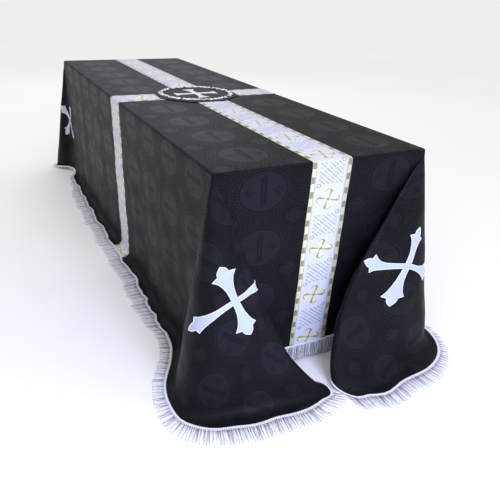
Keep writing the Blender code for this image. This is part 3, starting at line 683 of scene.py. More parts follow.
def fringe(name, yarn, braid):
    """A braid over part of the hem, and the strands that run out from under it. Hung ones are straight."""
    order = list(STATIONS)
    stations = [STATIONS[order[order.index(name) - 1]][-1]] + STATIONS[name]
    hangs = name in ("near", "far")
    sections, lines, lengths = [], [], [0.0]
    for station in stations:
        sections.append([surface(*station.flat(station.length + d), h) for d, h in HEADING_OUTLINE])
        marks = [surface(*station.flat(station.length + 0.0050))]
        for part in (1, 2, 3, 4, 5):
            d = HEADING + STRAND * station.fringe * part / 4
            marks.append(
                marks[0] + Vector((0, 0, 0.0050 - d)) if hangs else draped(*station.flat(station.length + d))
            )
        lines.append(marks)
        if len(lines) > 1:
            lengths.append(lengths[-1] + (lines[-1][0] - lines[-2][0]).length)
    work = bmesh.new()
    along = work.loops.layers.uv.new("along")
    rings = [[work.verts.new(place) for place in section] for section in sections]
    for i, (a, b) in enumerate(zip(rings, rings[1:])):
        for k in range(len(a)):
            face = work.faces.new((a[k - 1], a[k], b[k], b[k - 1]))
            for corner in face.loops:
                at = i if corner.vert in a else i + 1
                part = a.index(corner.vert) if corner.vert in a else b.index(corner.vert)
                corner[along].uv = (lengths[at], HEADING_OUTLINE[part][0])
    work.faces.new(rings[0])
    work.faces.new(rings[-1])
    bmesh.ops.recalc_face_normals(work, faces=work.faces)
    heading = bpy.data.meshes.new("heading_" + name)
    work.to_mesh(heading)
    work.free()
    pieces = [link("heading_" + name, heading, braid, ["fringe_" + name], 60)]

    work = bmesh.new()
    along = work.loops.layers.uv.new("along")
    count = int(lengths[-1] / STRAND_PITCH)
    for k in range(count):
        at = (k + 0.5 + 0.18 * math.sin(k * 2.4)) * lengths[-1] / count
        i = min(len(lengths) - 2, max(0, bisect_left(lengths, at) - 1))
        if stations[i].bare or stations[i + 1].bare:
            continue
        t = (at - lengths[i]) / (lengths[i + 1] - lengths[i])
        marks = [mixed(a, b, t) for a, b in zip(lines[i], lines[i + 1])]
        hem_way = (lines[i + 1][0] - lines[i][0]).normalized()
        long = 0.93 + 0.03 * math.sin(k * 1.9) + 0.03 * math.sin(k * 0.31)
        lean = (0.0017 if k % 2 else -0.0017) + 0.0022 * math.sin(k * 0.47) * math.sin(k * 0.083)
        rings = []
        for step in range(5):
            spot = step * long
            j = min(4, int(spot))
            place = mixed(marks[j], marks[j + 1], spot - j)
            way = (marks[j + 1] - marks[j]).normalized()
            rise = hem_way.cross(way).normalized()
            rise = -rise if rise.z < 0 and not hangs else rise
            share = step / 4
            place = place + hem_way * (lean * share + 0.0016 * math.sin(k * 1.3 + step * 1.9) * share)
            place = place + rise * 0.0008 * (1 + math.sin(k * 0.9 + step)) * share * (0 if hangs else 1)
            radius = STRAND_RADIUS * (1.0 - 0.25 * share)
            rings.append([
                work.verts.new(place + (hem_way * math.cos(a) + rise * math.sin(a)) * radius)
                for a in (math.pi / 2, math.pi * 7 / 6, math.pi * 11 / 6)
            ])
        for step, (a, b) in enumerate(zip(rings, rings[1:])):
            for c in range(3):
                face = work.faces.new((a[c - 1], a[c], b[c], b[c - 1]))
                for corner in face.loops:
                    corner[along].uv = (k, (step if corner.vert in a else step + 1) / 4)
        work.faces.new(rings[0])
        work.faces.new(rings[-1])
    bmesh.ops.recalc_face_normals(work, faces=work.faces)
    strands = bpy.data.meshes.new("strands_" + name)
    work.to_mesh(strands)
    work.free()
    pieces.append(link("strands_" + name, strands, yarn, ["fringe_" + name]))
    return pieces


# The medallion.

def medallion(velvet, thorns, satin):
    """A velvet disc with a rolled rim, a thorny wreath twisted from two cords, and a plain cross."""
    x, y = MEDALLION_AT
    base = TOP_Z + CLOTH / 2 + GAP + BAND_THICKNESS + GAP
    disc = 0.0022
    bpy.ops.mesh.primitive_cylinder_add(
        vertices=8, radius=MEDALLION_RADIUS * 1.065, depth=disc, location=(x, y, base + disc / 2),
        rotation=(0, 0, math.radians(-26)),
    )
    obj = bpy.context.active_object
    bpy.ops.object.transform_apply(location=True, rotation=True, scale=True)
    bpy.ops.object.mode_set(mode="EDIT")
    bpy.ops.mesh.select_all(action="DESELECT")
    mesh = bmesh.from_edit_mesh(obj.data)
    for edge in mesh.edges:
        edge.select_set(abs(edge.verts[0].co.z - edge.verts[1].co.z) > disc / 2)
    bmesh.update_edit_mesh(obj.data)
    bpy.ops.mesh.bevel(offset=0.044, segments=9, affect="EDGES")
    bpy.ops.mesh.select_all(action="DESELECT")
    mesh = bmesh.from_edit_mesh(obj.data)
    for face in mesh.faces:
        face.select = face.normal.z > 0.9
    bmesh.update_edit_mesh(obj.data)
    bpy.ops.mesh.inset(thickness=0.004)
    bpy.ops.transform.translate(value=(0, 0, 0.0010))
    bpy.ops.mesh.inset(thickness=0.005)
    bpy.ops.mesh.inset(thickness=0.003)
    bpy.ops.transform.translate(value=(0, 0, -0.0008))
    bpy.ops.mesh.inset(thickness=0.010)
    bpy.ops.object.mode_set(mode="OBJECT")
    apply(obj, "BEVEL", width=0.0005, segments=2, limit_method="ANGLE")
    pieces = [dressed(obj, "medallion_ground", velvet, ["medallion_disc"], 35)]

    middle = base + disc + 0.0044
    twists, points, count = 21, 504, 44
    parts = []
    for strand in range(2):
        route = []
        for k in range(points):
            turn = 2 * math.pi * k / points
            twist = twists * turn + strand * math.pi
            radius = WREATH_RADIUS + 0.0078 * math.cos(twist) + 0.0020 * math.sin(turn * 7)
            height = middle + 0.0012 * math.sin(twist)
            route.append((x + radius * math.cos(turn), y + radius * math.sin(turn), height))
        parts.append(link("wreath_strand", tube("wreath_strand", route, 0.0023), thorns))
    for k in range(count):
        turn = 2 * math.pi * (k + 0.28 * math.sin(k * 2.1)) / count
        outward = 1 if k % 2 else -1
        lean = turn + (0 if outward > 0 else math.pi) + 0.55 * math.sin(k * 1.7)
        long = 0.012 + 0.003 * math.sin(k * 2.9)
        radius = WREATH_RADIUS + outward * (0.001 + long / 2)
        bpy.ops.mesh.primitive_cone_add(
            vertices=6, radius1=0.0040, radius2=0.0003, depth=long,
            location=(x + radius * math.cos(turn), y + radius * math.sin(turn), middle - 0.0012),
            rotation=(0, math.pi / 2, lean), scale=(0.45, 1.0, 1.0),
        )
        parts.append(bpy.context.active_object)
    pick(*parts)
    bpy.ops.object.join()
    pieces.append(dressed(parts[0], "medallion_thorns", thorns, ["medallion_wreath"], 50))

    half, thick = EMBLEM_ARM * 0.10, 0.0024
    centre = (x, y, base + disc + GAP + thick / 2)
    bpy.ops.mesh.primitive_cube_add(size=1, location=centre, scale=(2 * half, 2 * half, thick))
    obj = bpy.context.active_object
    bpy.ops.object.transform_apply(location=True, rotation=True, scale=True)
    bpy.ops.object.mode_set(mode="EDIT")
    for way in (Vector((1, 0, 0)), Vector((-1, 0, 0)), Vector((0, 1, 0)), Vector((0, -1, 0))):
        bpy.ops.mesh.select_all(action="DESELECT")
        mesh = bmesh.from_edit_mesh(obj.data)
        for face in mesh.faces:
            from_middle = face.calc_center_median() - Vector((x, y, 0.0))
            aside = abs(from_middle.x * way.y - from_middle.y * way.x)
            if face.normal.dot(way) > 0.9 and aside < 0.001:
                face.select_set(True)
        bmesh.update_edit_mesh(obj.data)
        for out, wider in ((0.062, 1.15), (0.020, 1.9), (0.008, 1.35)):
            bpy.ops.mesh.extrude_region_move(TRANSFORM_OT_translate={"value": way * out})
            aside = Vector((abs(way.y), abs(way.x), 0)) * (wider - 1) + Vector((1, 1, 1))
            bpy.ops.transform.resize(value=aside, center_override=centre)
    bpy.ops.object.mode_set(mode="OBJECT")
    apply(obj, "BEVEL", width=0.0007, segments=2, limit_method="ANGLE")
    pieces.append(dressed(obj, "emblem_cross", satin, ["medallion_cross"], 40))
    return pieces


# Finishes.

def linear(code):
    """A hex colour as linear red, green, blue and alpha."""
    parts = [int(code[i:i + 2], 16) / 255 for i in (1, 3, 5)]
    return tuple(c / 12.92 if c <= 0.04045 else ((c + 0.055) / 1.055) ** 2.4 for c in parts) + (1.0,)


class Finish:
    """A material built node by node. What each node gives is kept by name."""

    def __init__(self, name, **sockets):
        self.material = bpy.data.materials.new(name)
        self.material.use_nodes = True
        self.tree = self.material.node_tree
        self.shader = self.tree.nodes["Principled BSDF"]
        self.values = {}
        for key, value in sockets.items():
            self.shader.inputs[key.replace("_", " ")].default_value = value

    def add(self, name, kind, *inputs, **settings):
        """Adds a node with its settings and links. A kind in capitals is a Math operation."""
        made = "ShaderNode" + ("Math" if kind.isupper() else kind)
        node = self.shader if kind == "Shader" else self.tree.nodes.new(made)
        if kind.isupper():
            node.operation = kind
        for key, value in settings.items():
            setattr(node, key, value)
        for key, value in inputs[0].items() if inputs and isinstance(inputs[0], dict) else enumerate(inputs):
            value = self.values[value] if isinstance(value, str) else value
            if isinstance(value, bpy.types.NodeSocket):
                self.tree.links.new(value, node.inputs[key])
            else:
                node.inputs[key].default_value = value
        given = [output for output in node.outputs if output.enabled]
        self.values[name] = given[0]
        for output in given:
            self.values[name + "." + output.name] = output

    def rows(self, *rows):
        for row in rows:
            self.add(*row)


def repeat(name, value, size, start):
    """Rows that give a value's place in its repeat, from minus a half to a half."""
    return (
        (name + "_turns", "MULTIPLY_ADD", value, 1 / size, 0.5 - start / size),
        (name + "_part", "FRACT", name + "_turns"),
        (name, "SUBTRACT", name + "_part", 0.5),
    )


def round_about(name, a, b):
    """Rows for the distance and the angle from a centre, given the two ways from it."""
    return (
        (name + "_squared", "MULTIPLY", a, a), (name + "_sum", "MULTIPLY_ADD", b, b, name + "_squared"),
        (name, "SQRT", name + "_sum"), (name + "_angle", "ARCTAN2", b, a),
    )


def laid_over(finish, first, layers):
    """Shapes laid one over the other: each a mask's name and the level that it shows."""
    below = first
    for k, (mask, level) in enumerate(layers):
        finish.add("layer_%d" % k, "Mix", {0: mask, 2: below, 3: level})
        below = "layer_%d" % k
    return below


def brocade_finish():
    """Black rayon damask, woven tone on tone: satin figures shine, the pebble-woven ground stays dull."""
    cell = 0.235
    finish = Finish(
        "black_rayon_damask", Sheen_Weight=0.02, Sheen_Roughness=0.40, Sheen_Tint=linear("#a9aed2"),
        Specular_IOR_Level=0.11,
    )
    finish.add("flat", "UVMap", uv_map="flat")
    finish.add("at", "SeparateXYZ", "flat")
    finish.rows(*repeat("p", "at.X", cell + 0.0005, -0.222), *repeat("q", "at.Y", cell - 0.0005, -0.090))
    finish.rows(
        ("pa", "ABSOLUTE", "p"), ("qa", "ABSOLUTE", "q"), ("pe", "SUBTRACT", 0.5, "pa"),
        ("qe", "SUBTRACT", 0.5, "qa"), ("p_tip", "SUBTRACT", "pa", 0.215),
        ("q_tip", "SUBTRACT", "qa", 0.215),
    )
    for name, a, b in (
        ("disc", "p", "q"), ("rose", "p", "qe"), ("scroll", "pe", "q"), ("knot", "pe", "qe"),
        ("foot", "q_tip", "p"), ("hand", "p_tip", "q"),
    ):
        finish.rows(*round_about(name, a, b))
    finish.rows(
        # A rosette of eight petals above and below each disc.
        ("rose_eight", "MULTIPLY", "rose_angle", 8.0), ("rose_wave", "COSINE", "rose_eight"),
        ("rose_edge", "MULTIPLY_ADD", "rose_wave", 0.022, 0.066),
        ("rose_shape", "LESS_THAN", "rose", "rose_edge"), ("rose_heart", "COMPARE", "rose", 0.0, 0.020),
        ("rose_field", "LESS_THAN", "rose", 0.112), ("rose_ring", "COMPARE", "rose", 0.116, 0.008),
        # Small scrolled circles at its sides.
        ("scroll_field", "LESS_THAN", "scroll", 0.074), ("scroll_ring", "COMPARE", "scroll", 0.060, 0.009),
        ("scroll_eye", "COMPARE", "scroll", 0.026, 0.009),
        # A ringed knot with four crossed leaves where four cells meet.
        ("knot_ring", "COMPARE", "knot", 0.160, 0.009), ("knot_field", "LESS_THAN", "knot", 0.150),
        ("knot_two", "MULTIPLY", "knot_angle", 2.0), ("knot_sine", "SINE", "knot_two"),
        ("knot_bow", "ABSOLUTE", "knot_sine"), ("knot_edge", "MULTIPLY", "knot_bow", 0.130),
        ("knot_leaf", "LESS_THAN", "knot", "knot_edge"),
        ("knot_line", "COMPARE", "knot", "knot_edge", 0.010),
        # The disc's rings: an outer pair, a belt of slanting strokes, beads, and the plain disc.
        ("border", "COMPARE", "disc", 0.474, 0.018), ("border_line", "COMPARE", "disc", 0.474, 0.006),
        ("belt", "COMPARE", "disc", 0.424, 0.026),
        ("belt_turns", "MULTIPLY", "disc_angle", 46 / (2 * math.pi)),
        ("belt_slant", "MULTIPLY_ADD", "disc", 9.0, "belt_turns"),
        ("belt_part", "PINGPONG", "belt_slant", 0.5), ("belt_under", "LESS_THAN", "belt_part", 0.19),
        ("belt_marks", "MULTIPLY", "belt", "belt_under"), ("belt_line", "COMPARE", "disc", 0.394, 0.005),
        ("moat", "COMPARE", "disc", 0.366, 0.026), ("bead_turns", "MULTIPLY", "disc_angle", 52.0),
        ("bead_wave", "COSINE", "bead_turns"), ("bead_on", "GREATER_THAN", "bead_wave", 0.0),
        ("bead_ring", "COMPARE", "disc", 0.370, 0.009), ("beads", "MULTIPLY", "bead_ring", "bead_on"),
        ("plain_disc", "LESS_THAN", "disc", 0.338), ("disc_line", "COMPARE", "disc", 0.340, 0.007),
        # The cross in the disc: a dark-edged upright, a faint arm, and three small lobes at each end.
        ("stem_near", "LESS_THAN", "pa", 0.032), ("stem_far", "LESS_THAN", "qa", 0.205),
        ("stem", "MULTIPLY", "stem_near", "stem_far"), ("stem_side", "COMPARE", "pa", 0.030, 0.008),
        ("stem_edge", "MULTIPLY", "stem_side", "stem_far"), ("arm_near", "LESS_THAN", "qa", 0.012),
        ("arm_far", "LESS_THAN", "pa", 0.170), ("arm", "MULTIPLY", "arm_near", "arm_far"),
        ("foot_four", "MULTIPLY", "foot_angle", 4.0), ("foot_wave", "COSINE", "foot_four"),
        ("foot_edge", "MULTIPLY_ADD", "foot_wave", 0.017, 0.036),
        ("foot_lobes", "LESS_THAN", "foot", "foot_edge"),
        ("foot_line", "COMPARE", "foot", "foot_edge", 0.008),
        ("hand_four", "MULTIPLY", "hand_angle", 4.0), ("hand_wave", "COSINE", "hand_four"),
        ("hand_edge", "MULTIPLY_ADD", "hand_wave", 0.017, 0.036),
        ("hand_line", "COMPARE", "hand", "hand_edge", 0.008),
        # The ground's pebbled weave is about 2 mm across, drawn at 7 mm so that it shows.
        ("pebbles", "TexVoronoi", {"Vector": "flat", "Scale": 140.0}),
        ("pebble_on", "GREATER_THAN", "pebbles", 0.42),
        ("pebble_level", "MULTIPLY_ADD", "pebble_on", -0.36, 0.62),
    )
    figure = laid_over(finish, "pebble_level", (
        ("scroll_field", 0.60), ("scroll_ring", 0.05), ("scroll_eye", 0.05), ("knot_field", 0.62),
        ("knot_ring", 0.05), ("knot_leaf", 0.82), ("knot_line", 0.05), ("rose_field", 0.62),
        ("rose_ring", 0.05), ("rose_shape", 0.90), ("rose_heart", 0.05), ("border", 0.10),
        ("border_line", 0.88), ("belt", 0.70), ("belt_marks", 0.05), ("belt_line", 0.05), ("moat", 0.45),
        ("beads", 0.92), ("plain_disc", 0.86), ("disc_line", 0.0), ("arm", 0.66), ("hand_line", 0.05),
        ("stem", 0.62), ("stem_edge", 0.05), ("foot_lobes", 0.70), ("foot_line", 0.05),
    ))
    finish.rows(
        # Threads are 0.3 mm, drawn at 1.6 mm. Floats of the satin run lengthways, so its grain is long.
        ("spread", "Mapping", {"Vector": "flat", "Scale": (620.0, 90.0, 1.0)}),
        ("threads", "TexNoise", {"Vector": "spread", "Scale": 1.0, "Detail": 2.0}),
        ("wear", "TexNoise", {"Vector": "flat", "Scale": 9.0, "Detail": 3.0}),
        ("lifted", "MULTIPLY_ADD", "threads", 0.35, figure),
        ("wear_level", "MULTIPLY_ADD", "wear", 0.24, -0.12), ("tone", "ADD", "wear_level", figure),
    )
    # The satin figures' lighter, cooler colour than the ground is a painted sheen in part, beside the gloss
    # that the weave really has.
    finish.add("colour", "Mix", {0: "tone", 6: linear("#040406"), 7: linear("#18181f")}, data_type="RGBA")
    finish.add("gloss", "MapRange", {"Value": figure, "To Min": 0.62, "To Max": 0.44})
    finish.add("relief", "Bump", {"Strength": 0.30, "Distance": 0.0005, "Height": "lifted"})
    finish.add("done", "Shader", {"Base Color": "colour", "Roughness": "gloss", "Normal": "relief"})
    return finish.material


def band_finish():
    """White silk galloon with gilt figures: the silk is bright and smooth, and the gilt thread glints."""
    finish = Finish("white_silk_galloon", Sheen_Weight=0.20, Sheen_Roughness=0.4, Specular_IOR_Level=0.5)
    finish.add("flat", "UVMap", uv_map="flat")
    finish.add("at", "SeparateXYZ", "flat")
    length = 0.220
    finish.rows(*repeat("w", "at.Y", length, 0.060), *repeat("m", "at.Y", length, 0.060 + length / 2))
    finish.rows(
        ("a", "MULTIPLY", "at.X", 1 / length), ("side", "ABSOLUTE", "at.X"),
        # Gilt edges, in bright and dark lengths of about 30 mm.
        ("edge", "COMPARE", "side", 0.0648, 0.0062), ("edge_turns", "MULTIPLY", "at.Y", 1 / 0.060),
        ("edge_part", "FRACT", "edge_turns"), ("edge_dark", "GREATER_THAN", "edge_part", 0.55),
        ("edge_shade", "MULTIPLY", "edge", "edge_dark"), ("edge_line", "COMPARE", "side", 0.0570, 0.0010),
    )
    finish.rows(*round_about("leaf", "w", "a"))
    finish.rows(
        # Four leaves in a cross, each a fan with a rounded end, and some of them darker.
        ("leaf_off", "WRAP", "leaf_angle", math.pi / 4, -math.pi / 4),
        ("leaf_from", "ABSOLUTE", "leaf_off"), ("leaf_fan", "LESS_THAN", "leaf_from", 0.40),
        ("leaf_turn", "MULTIPLY", "leaf_off", 2.1), ("leaf_round", "COSINE", "leaf_turn"),
        ("leaf_end", "MULTIPLY_ADD", "leaf_round", 0.105, 0.098),
        ("leaf_near", "LESS_THAN", "leaf", "leaf_end"), ("leaf_in", "MULTIPLY", "leaf_fan", "leaf_near"),
        ("leaf_edge_off", "COMPARE", "leaf", "leaf_end", 0.018),
        ("leaf_edge", "MULTIPLY", "leaf_edge_off", "leaf_in"),
        ("leaf_half", "GREATER_THAN", "leaf_off", 0.12),
        ("leaf_shade", "MULTIPLY", "leaf_in", "leaf_half"),
        ("leaf_dark", "MAXIMUM", "leaf_shade", "leaf_edge"), ("leaf_heart", "LESS_THAN", "leaf", 0.030),
        # Between them a lattice of lines, woven over and under, most of them one way.
        ("d1", "ADD", "a", "m"), ("d2", "SUBTRACT", "a", "m"), ("d1_part", "PINGPONG", "d1", 0.038),
        ("d2_part", "PINGPONG", "d2", 0.038), ("d1_line", "LESS_THAN", "d1_part", 0.0090),
        ("d2_line", "LESS_THAN", "d2_part", 0.0090), ("d1_turn", "PINGPONG", "d1", 0.076),
        ("d2_turn", "PINGPONG", "d2", 0.114), ("d1_over", "GREATER_THAN", "d2_turn", 0.026),
        ("d2_over", "LESS_THAN", "d1_turn", 0.026), ("d1_shown", "MULTIPLY", "d1_line", "d1_over"),
        ("d2_shown", "MULTIPLY", "d2_line", "d2_over"), ("lattice", "MAXIMUM", "d1_shown", "d2_shown"),
        ("aside", "ABSOLUTE", "a"), ("ahead", "ABSOLUTE", "m"), ("in_side", "LESS_THAN", "aside", 0.200),
        ("in_length", "LESS_THAN", "ahead", 0.205), ("in_field", "MULTIPLY", "in_side", "in_length"),
        ("lattice_shown", "MULTIPLY", "lattice", "in_field"),
        # Two small hooks at opposite corners of the lattice.
        ("mirror", "SIGN", "a"), ("hook_m", "MULTIPLY", "m", "mirror"),
        ("hook_a", "SUBTRACT", "aside", 0.190), ("hook_b", "SUBTRACT", "hook_m", 0.225),
    )
    finish.rows(*round_about("hook", "hook_a", "hook_b"))
    finish.rows(
        ("hook_ring", "COMPARE", "hook", 0.032, 0.008), ("gilt", "MAXIMUM", "edge", "leaf_in"),
        ("fine", "MAXIMUM", "lattice_shown", "hook_ring"), ("fine_all", "MAXIMUM", "fine", "edge_line"),
        ("dark_a", "MAXIMUM", "edge_shade", "leaf_dark"), ("dark", "MAXIMUM", "dark_a", "leaf_heart"),
        # Silk threads are 0.2 mm, drawn across the band at 1.2 mm.
        ("spread", "Mapping", {"Vector": "flat", "Scale": (160.0, 850.0, 1.0)}),
        ("threads", "TexNoise", {"Vector": "spread", "Scale": 1.0, "Detail": 2.0}),
        ("gilt_twist", "TexNoise", {"Vector": "flat", "Scale": 420.0, "Detail": 1.0}),
    )
    for name, mask, below, colour in (
        ("silk", "threads", linear("#bfc5de"), linear("#dcdff0")),
        ("silk_fine", "fine_all", "silk", linear("#8f8f92")),
        ("silk_gilt", "gilt", "silk_fine", linear("#efe9bf")),
        ("colour", "dark", "silk_gilt", linear("#a09862")),
    ):
        finish.add(name, "Mix", {0: mask, 6: below, 7: colour}, data_type="RGBA")
    finish.rows(
        ("metal", "MULTIPLY", "gilt", 0.25), ("rough_a", "MULTIPLY_ADD", "gilt", -0.14, 0.50),
        ("rough", "MULTIPLY_ADD", "gilt_twist", 0.10, "rough_a"),
        ("raised", "MULTIPLY_ADD", "gilt", 0.8, "threads"),
        ("raised_all", "MULTIPLY_ADD", "gilt_twist", 0.3, "raised"),
    )
    finish.add("relief", "Bump", {"Strength": 0.35, "Distance": 0.0005, "Height": "raised_all"})
    finish.add("done", "Shader", {
        "Base Color": "colour", "Metallic": "metal", "Roughness": "rough", "Normal": "relief",
    })
    return finish.material


def cloth_finish(name, dark, light, grain, rough, bump, sheen, coordinates="Object"):
    """A plain thread finish: two close tones along the thread's grain, with its relief."""
    finish = Finish(name, Sheen_Weight=sheen, Sheen_Roughness=0.4, Specular_IOR_Level=0.5)
    if coordinates == "Object":
        finish.add("at", "TexCoord")
        source = "at.Object"
    else:
        finish.add("at", "UVMap", uv_map=coordinates)
        source = "at"
    finish.rows(
        ("spread", "Mapping", {"Vector": source, "Scale": grain}),
        ("threads", "TexNoise", {"Vector": "spread", "Scale": 1.0, "Detail": 3.0}),
        ("cloud", "TexNoise", {"Vector": source, "Scale": 14.0, "Detail": 2.0}),
        ("both", "MULTIPLY_ADD", "cloud", 0.5, "threads"), ("tone", "SUBTRACT", "both", 0.25),
    )
    finish.add("colour", "Mix", {0: "tone", 6: linear(dark), 7: linear(light)}, data_type="RGBA")
    finish.add("gloss", "MapRange", {"Value": "threads", "To Min": rough - 0.06, "To Max": rough + 0.06})
    finish.add("relief", "Bump", {"Strength": bump, "Distance": 0.0006, "Height": "threads"})
    finish.add("done", "Shader", {"Base Color": "colour", "Roughness": "gloss", "Normal": "relief"})
    return finish.material


def yarn_finish():
    """Chainette fringe of rayon yarn, white and matt beside the satin, with some strands painted lilac grey
    as painted shade between the strands, less of it toward their tips.
    """
    finish = Finish("white_rayon_fringe", Sheen_Weight=0.15, Sheen_Roughness=0.4, Specular_IOR_Level=0.4)
    finish.add("along", "UVMap", uv_map="along")
    finish.add("at", "SeparateXYZ", "along")
    finish.rows(
        # The across coordinate is the strand's number: one wave of three and one of seven pick the strands
        # painted lilac grey, a painted shade between the strands that fades toward their tips.
        ("third", "PINGPONG", "at.X", 1.5), ("deep_a", "LESS_THAN", "third", 0.4),
        ("wave", "MULTIPLY", "at.X", 0.9), ("swing", "SINE", "wave"),
        ("deep_b", "GREATER_THAN", "swing", 0.72), ("deep", "MAXIMUM", "deep_a", "deep_b"),
        ("fade", "MULTIPLY_ADD", "at.Y", -0.45, 0.95), ("shade", "MULTIPLY", "deep", "fade"),
        # The chainette's loops are about 2.5 mm long, 26 to a strand.
        ("loops", "Mapping", {"Vector": "along", "Scale": (0.7, 26.0, 1.0)}),
        ("threads", "TexNoise", {"Vector": "loops", "Scale": 1.0, "Detail": 2.0}),
        ("ply", "MULTIPLY_ADD", "threads", 0.5, "shade"), ("dark", "SUBTRACT", "ply", 0.2),
    )
    # The lilac grey is painted shade between the strands, not the yarn's own colour.
    finish.add("colour", "Mix", {0: "dark", 6: linear("#ffffff"), 7: linear("#adadc4")}, data_type="RGBA")
    finish.add("gloss", "MapRange", {"Value": "threads", "To Min": 0.54, "To Max": 0.66})
    finish.add("relief", "Bump", {"Strength": 0.25, "Distance": 0.0006, "Height": "threads"})
    finish.add("done", "Shader", {"Base Color": "colour", "Roughness": "gloss", "Normal": "relief"})
    return finish.material


def wreath_finish():
    """The wreath's embroidery: white cord broken by black gaps, as its thorns cross over the velvet."""
    finish = Finish("white_embroidery_cord", Sheen_Weight=0.10, Sheen_Roughness=0.4, Specular_IOR_Level=0.4)
    finish.add("at", "TexCoord")
    finish.rows(
        # Stitches are about 4 mm apart, drawn at 12 mm so that they show.
        ("stitches", "TexNoise", {"Vector": "at.Object", "Scale": 85.0, "Detail": 1.0}),
        ("plies", "TexNoise", {"Vector": "at.Object", "Scale": 420.0, "Detail": 2.0}),
    )
    finish.add("gaps", "MapRange", {"Value": "stitches", "From Min": 0.38, "From Max": 0.46})
    finish.add("colour", "Mix", {0: "gaps", 6: linear("#22222a"), 7: linear("#ffffff")}, data_type="RGBA")
    finish.add("gloss", "MapRange", {"Value": "plies", "To Min": 0.40, "To Max": 0.55})
    finish.add("relief", "Bump", {"Strength": 0.40, "Distance": 0.0006, "Height": "plies"})
    finish.add("done", "Shader", {"Base Color": "colour", "Roughness": "gloss", "Normal": "relief"})
    return finish.material


def braid_finish():
    """The gimp braid that heads the fringe: white, twisted every 7 mm, with slots along its lower edge; the
    twist's hollows, a groove line and the slots are painted darker as painted shade.
    """
    twist = 0.007
    finish = Finish("white_gimp_braid", Sheen_Weight=0.10, Sheen_Roughness=0.4, Specular_IOR_Level=0.4)
    finish.add("along", "UVMap", uv_map="along")
    finish.add("at", "SeparateXYZ", "along")
    finish.rows(
        ("turns", "MULTIPLY", "at.X", 1 / twist), ("slant", "MULTIPLY_ADD", "at.Y", 0.55 / twist, "turns"),
        ("ridge", "PINGPONG", "slant", 0.5), ("hollow", "LESS_THAN", "ridge", 0.13),
        ("below", "GREATER_THAN", "at.Y", 0.0045), ("slot_part", "PINGPONG", "turns", 0.5),
        ("slot_on", "LESS_THAN", "slot_part", 0.20), ("slot", "MULTIPLY", "slot_on", "below"),
        ("line", "COMPARE", "at.Y", 0.0030, 0.0005), ("dark_a", "MULTIPLY_ADD", "slot", 0.9, 0.0),
        ("dark_b", "MAXIMUM", "hollow", "line"), ("dark_c", "MULTIPLY", "dark_b", 0.45),
        ("dark", "MAXIMUM", "dark_a", "dark_c"),
    )
    # The grey is painted shade in the twist's hollows, along the groove line and in the slots.
    finish.add("colour", "Mix", {0: "dark", 6: linear("#f6f6fd"), 7: linear("#7d7d92")}, data_type="RGBA")
    finish.add("gloss", "MapRange", {"Value": "ridge", "To Max": 0.5, "From Max": 0.5, "To Min": 0.65})
    finish.add("relief", "Bump", {"Strength": 0.5, "Distance": 0.001, "Height": "ridge"})
    finish.add("done", "Shader", {"Base Color": "colour", "Roughness": "gloss", "Normal": "relief"})
    return finish.material


# The pieces and their finishes.

brocade = brocade_finish()
galloon = band_finish()
# Duchess satin: long floats, so it is smooth and bright, with a faint cool tone in its shade.
satin = cloth_finish(
    "white_duchess_satin", "#a3afd2", "#c6cfe9", (260.0, 900.0, 1.0), 0.40, 0.12, 0.10, "flat",
)
# The same satin cut flat for the medallion, which has no woven coordinates of its own.
emblem_satin = cloth_finish(
    "white_satin_emblem", "#d5dbec", "#f7f8fc", (260.0, 900.0, 60.0), 0.42, 0.12, 0.10,
)
# Twisted rayon cord: white, with the plies' small shadows every 2 to 3 mm.
cord = cloth_finish("white_rayon_cord", "#c9cde0", "#fbfbff", (420.0, 420.0, 420.0), 0.45, 0.40, 0.15)
# Cotton velvet: a deep pile that takes in light, with a soft bloom at its edges.
velvet = cloth_finish("black_cotton_velvet", "#060608", "#131318", (900.0, 900.0, 900.0), 0.85, 0.30, 0.08)
yarn = yarn_finish()
braid = braid_finish()
wreath = wreath_finish()
# Blow-moulded polyethylene: a fine pebbled skin, its white grown dull with use.
board = cloth_finish("pebbled_polyethylene", "#b9b3a6", "#c9c4b8", (420.0, 420.0, 420.0), 0.55, 0.25, 0.0)
# Powder-coated steel tube: grey, with the coat's faint orange peel.
steel = cloth_finish("powder_coated_steel", "#3b3c40", "#4a4b50", (300.0, 300.0, 300.0), 0.38, 0.12, 0.0)

for name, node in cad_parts.items():
    if name.startswith(("table_top", "rail_", "leg_", "bar_", "brace_")):
        node.data.materials.clear()
        node.data.materials.append(board if name == "table_top" else steel)

pall_piece = pall(brocade)
band_pieces = bands(galloon)
cross_pieces = [corner_cross(name, satin, cord) for name in CROSSES]
medallion_pieces = medallion(velvet, wreath, emblem_satin)
fringe_pieces = [piece for name in STATIONS for piece in fringe(name, yarn, braid)]

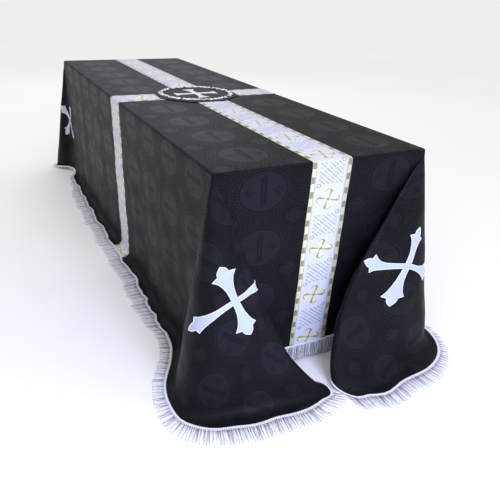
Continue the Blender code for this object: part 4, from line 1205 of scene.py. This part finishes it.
# Floor and light.
bpy.ops.mesh.primitive_plane_add(size=2000, location=(0, 0, 0))
floor = bpy.context.active_object
floor.name = "studio_floor"
paper = Finish("matt_white_paper", Roughness=0.9, Specular_IOR_Level=0.1)
paper.add("at", "TexCoord")
paper.add("cloud", "TexNoise", {"Vector": "at.Object", "Scale": 0.8, "Detail": 2.0})
paper.add("colour", "Mix", {0: "cloud", 6: linear("#fafafb"), 7: linear("#ffffff")}, data_type="RGBA")
paper.add("done", "Shader", {"Base Color": "colour"})
floor.data.materials.append(paper.material)

world = bpy.data.worlds.new("studio")
bpy.context.scene.world = world
world.use_nodes = True
world.node_tree.nodes["Background"].inputs["Color"].default_value = linear("#fffdfa")
# The sky is brighter overhead than at the horizon, as in a room with its lamps above.
HORIZON, OVERHEAD = 0.34, 1.18
sky = world.node_tree
way, parts, rise = (sky.nodes.new("ShaderNode" + kind) for kind in ("TexCoord", "SeparateXYZ", "MapRange"))
rise.inputs["To Min"].default_value, rise.inputs["To Max"].default_value = HORIZON, OVERHEAD
sky.links.new(way.outputs["Generated"], parts.inputs[0])
sky.links.new(parts.outputs["Z"], rise.inputs["Value"])
sky.links.new(rise.outputs["Result"], sky.nodes["Background"].inputs["Strength"])

# Each lamp's place, the point that it faces, its size, its power and its tint.
for name, place, aim, size, power, tint in (
    ("key_light", (-0.20, -3.00, 1.95), (0.0, -1.3, 0.35), (0.8, 0.8), 44.0, "#cdd6ff"),
    ("satin_light", (-0.10, -2.35, 0.20), (-0.10, -1.22, 0.66), (1.1, 0.3), 4.0, "#ccd5ff"),
    ("side_light", (-3.4, -0.6, 2.3), (-0.4, -0.2, 0.1), (1.6, 1.6), 1.0, "#fffaf4"),
    ("back_light", (1.2, 4.6, 2.9), (0.0, -0.4, 0.7), (2.6, 2.6), 22.0, "#dde1ff"),
):
    lamp = bpy.data.objects.new(name, bpy.data.lights.new(name, "AREA"))
    bpy.context.scene.collection.objects.link(lamp)
    lamp.data.shape, lamp.data.energy = "RECTANGLE", power
    lamp.data.size, lamp.data.size_y = size
    lamp.data.color = linear(tint)[:3]
    lamp.location = place
    lamp.rotation_euler = (Vector(aim) - Vector(place)).to_track_quat("-Z", "Y").to_euler()
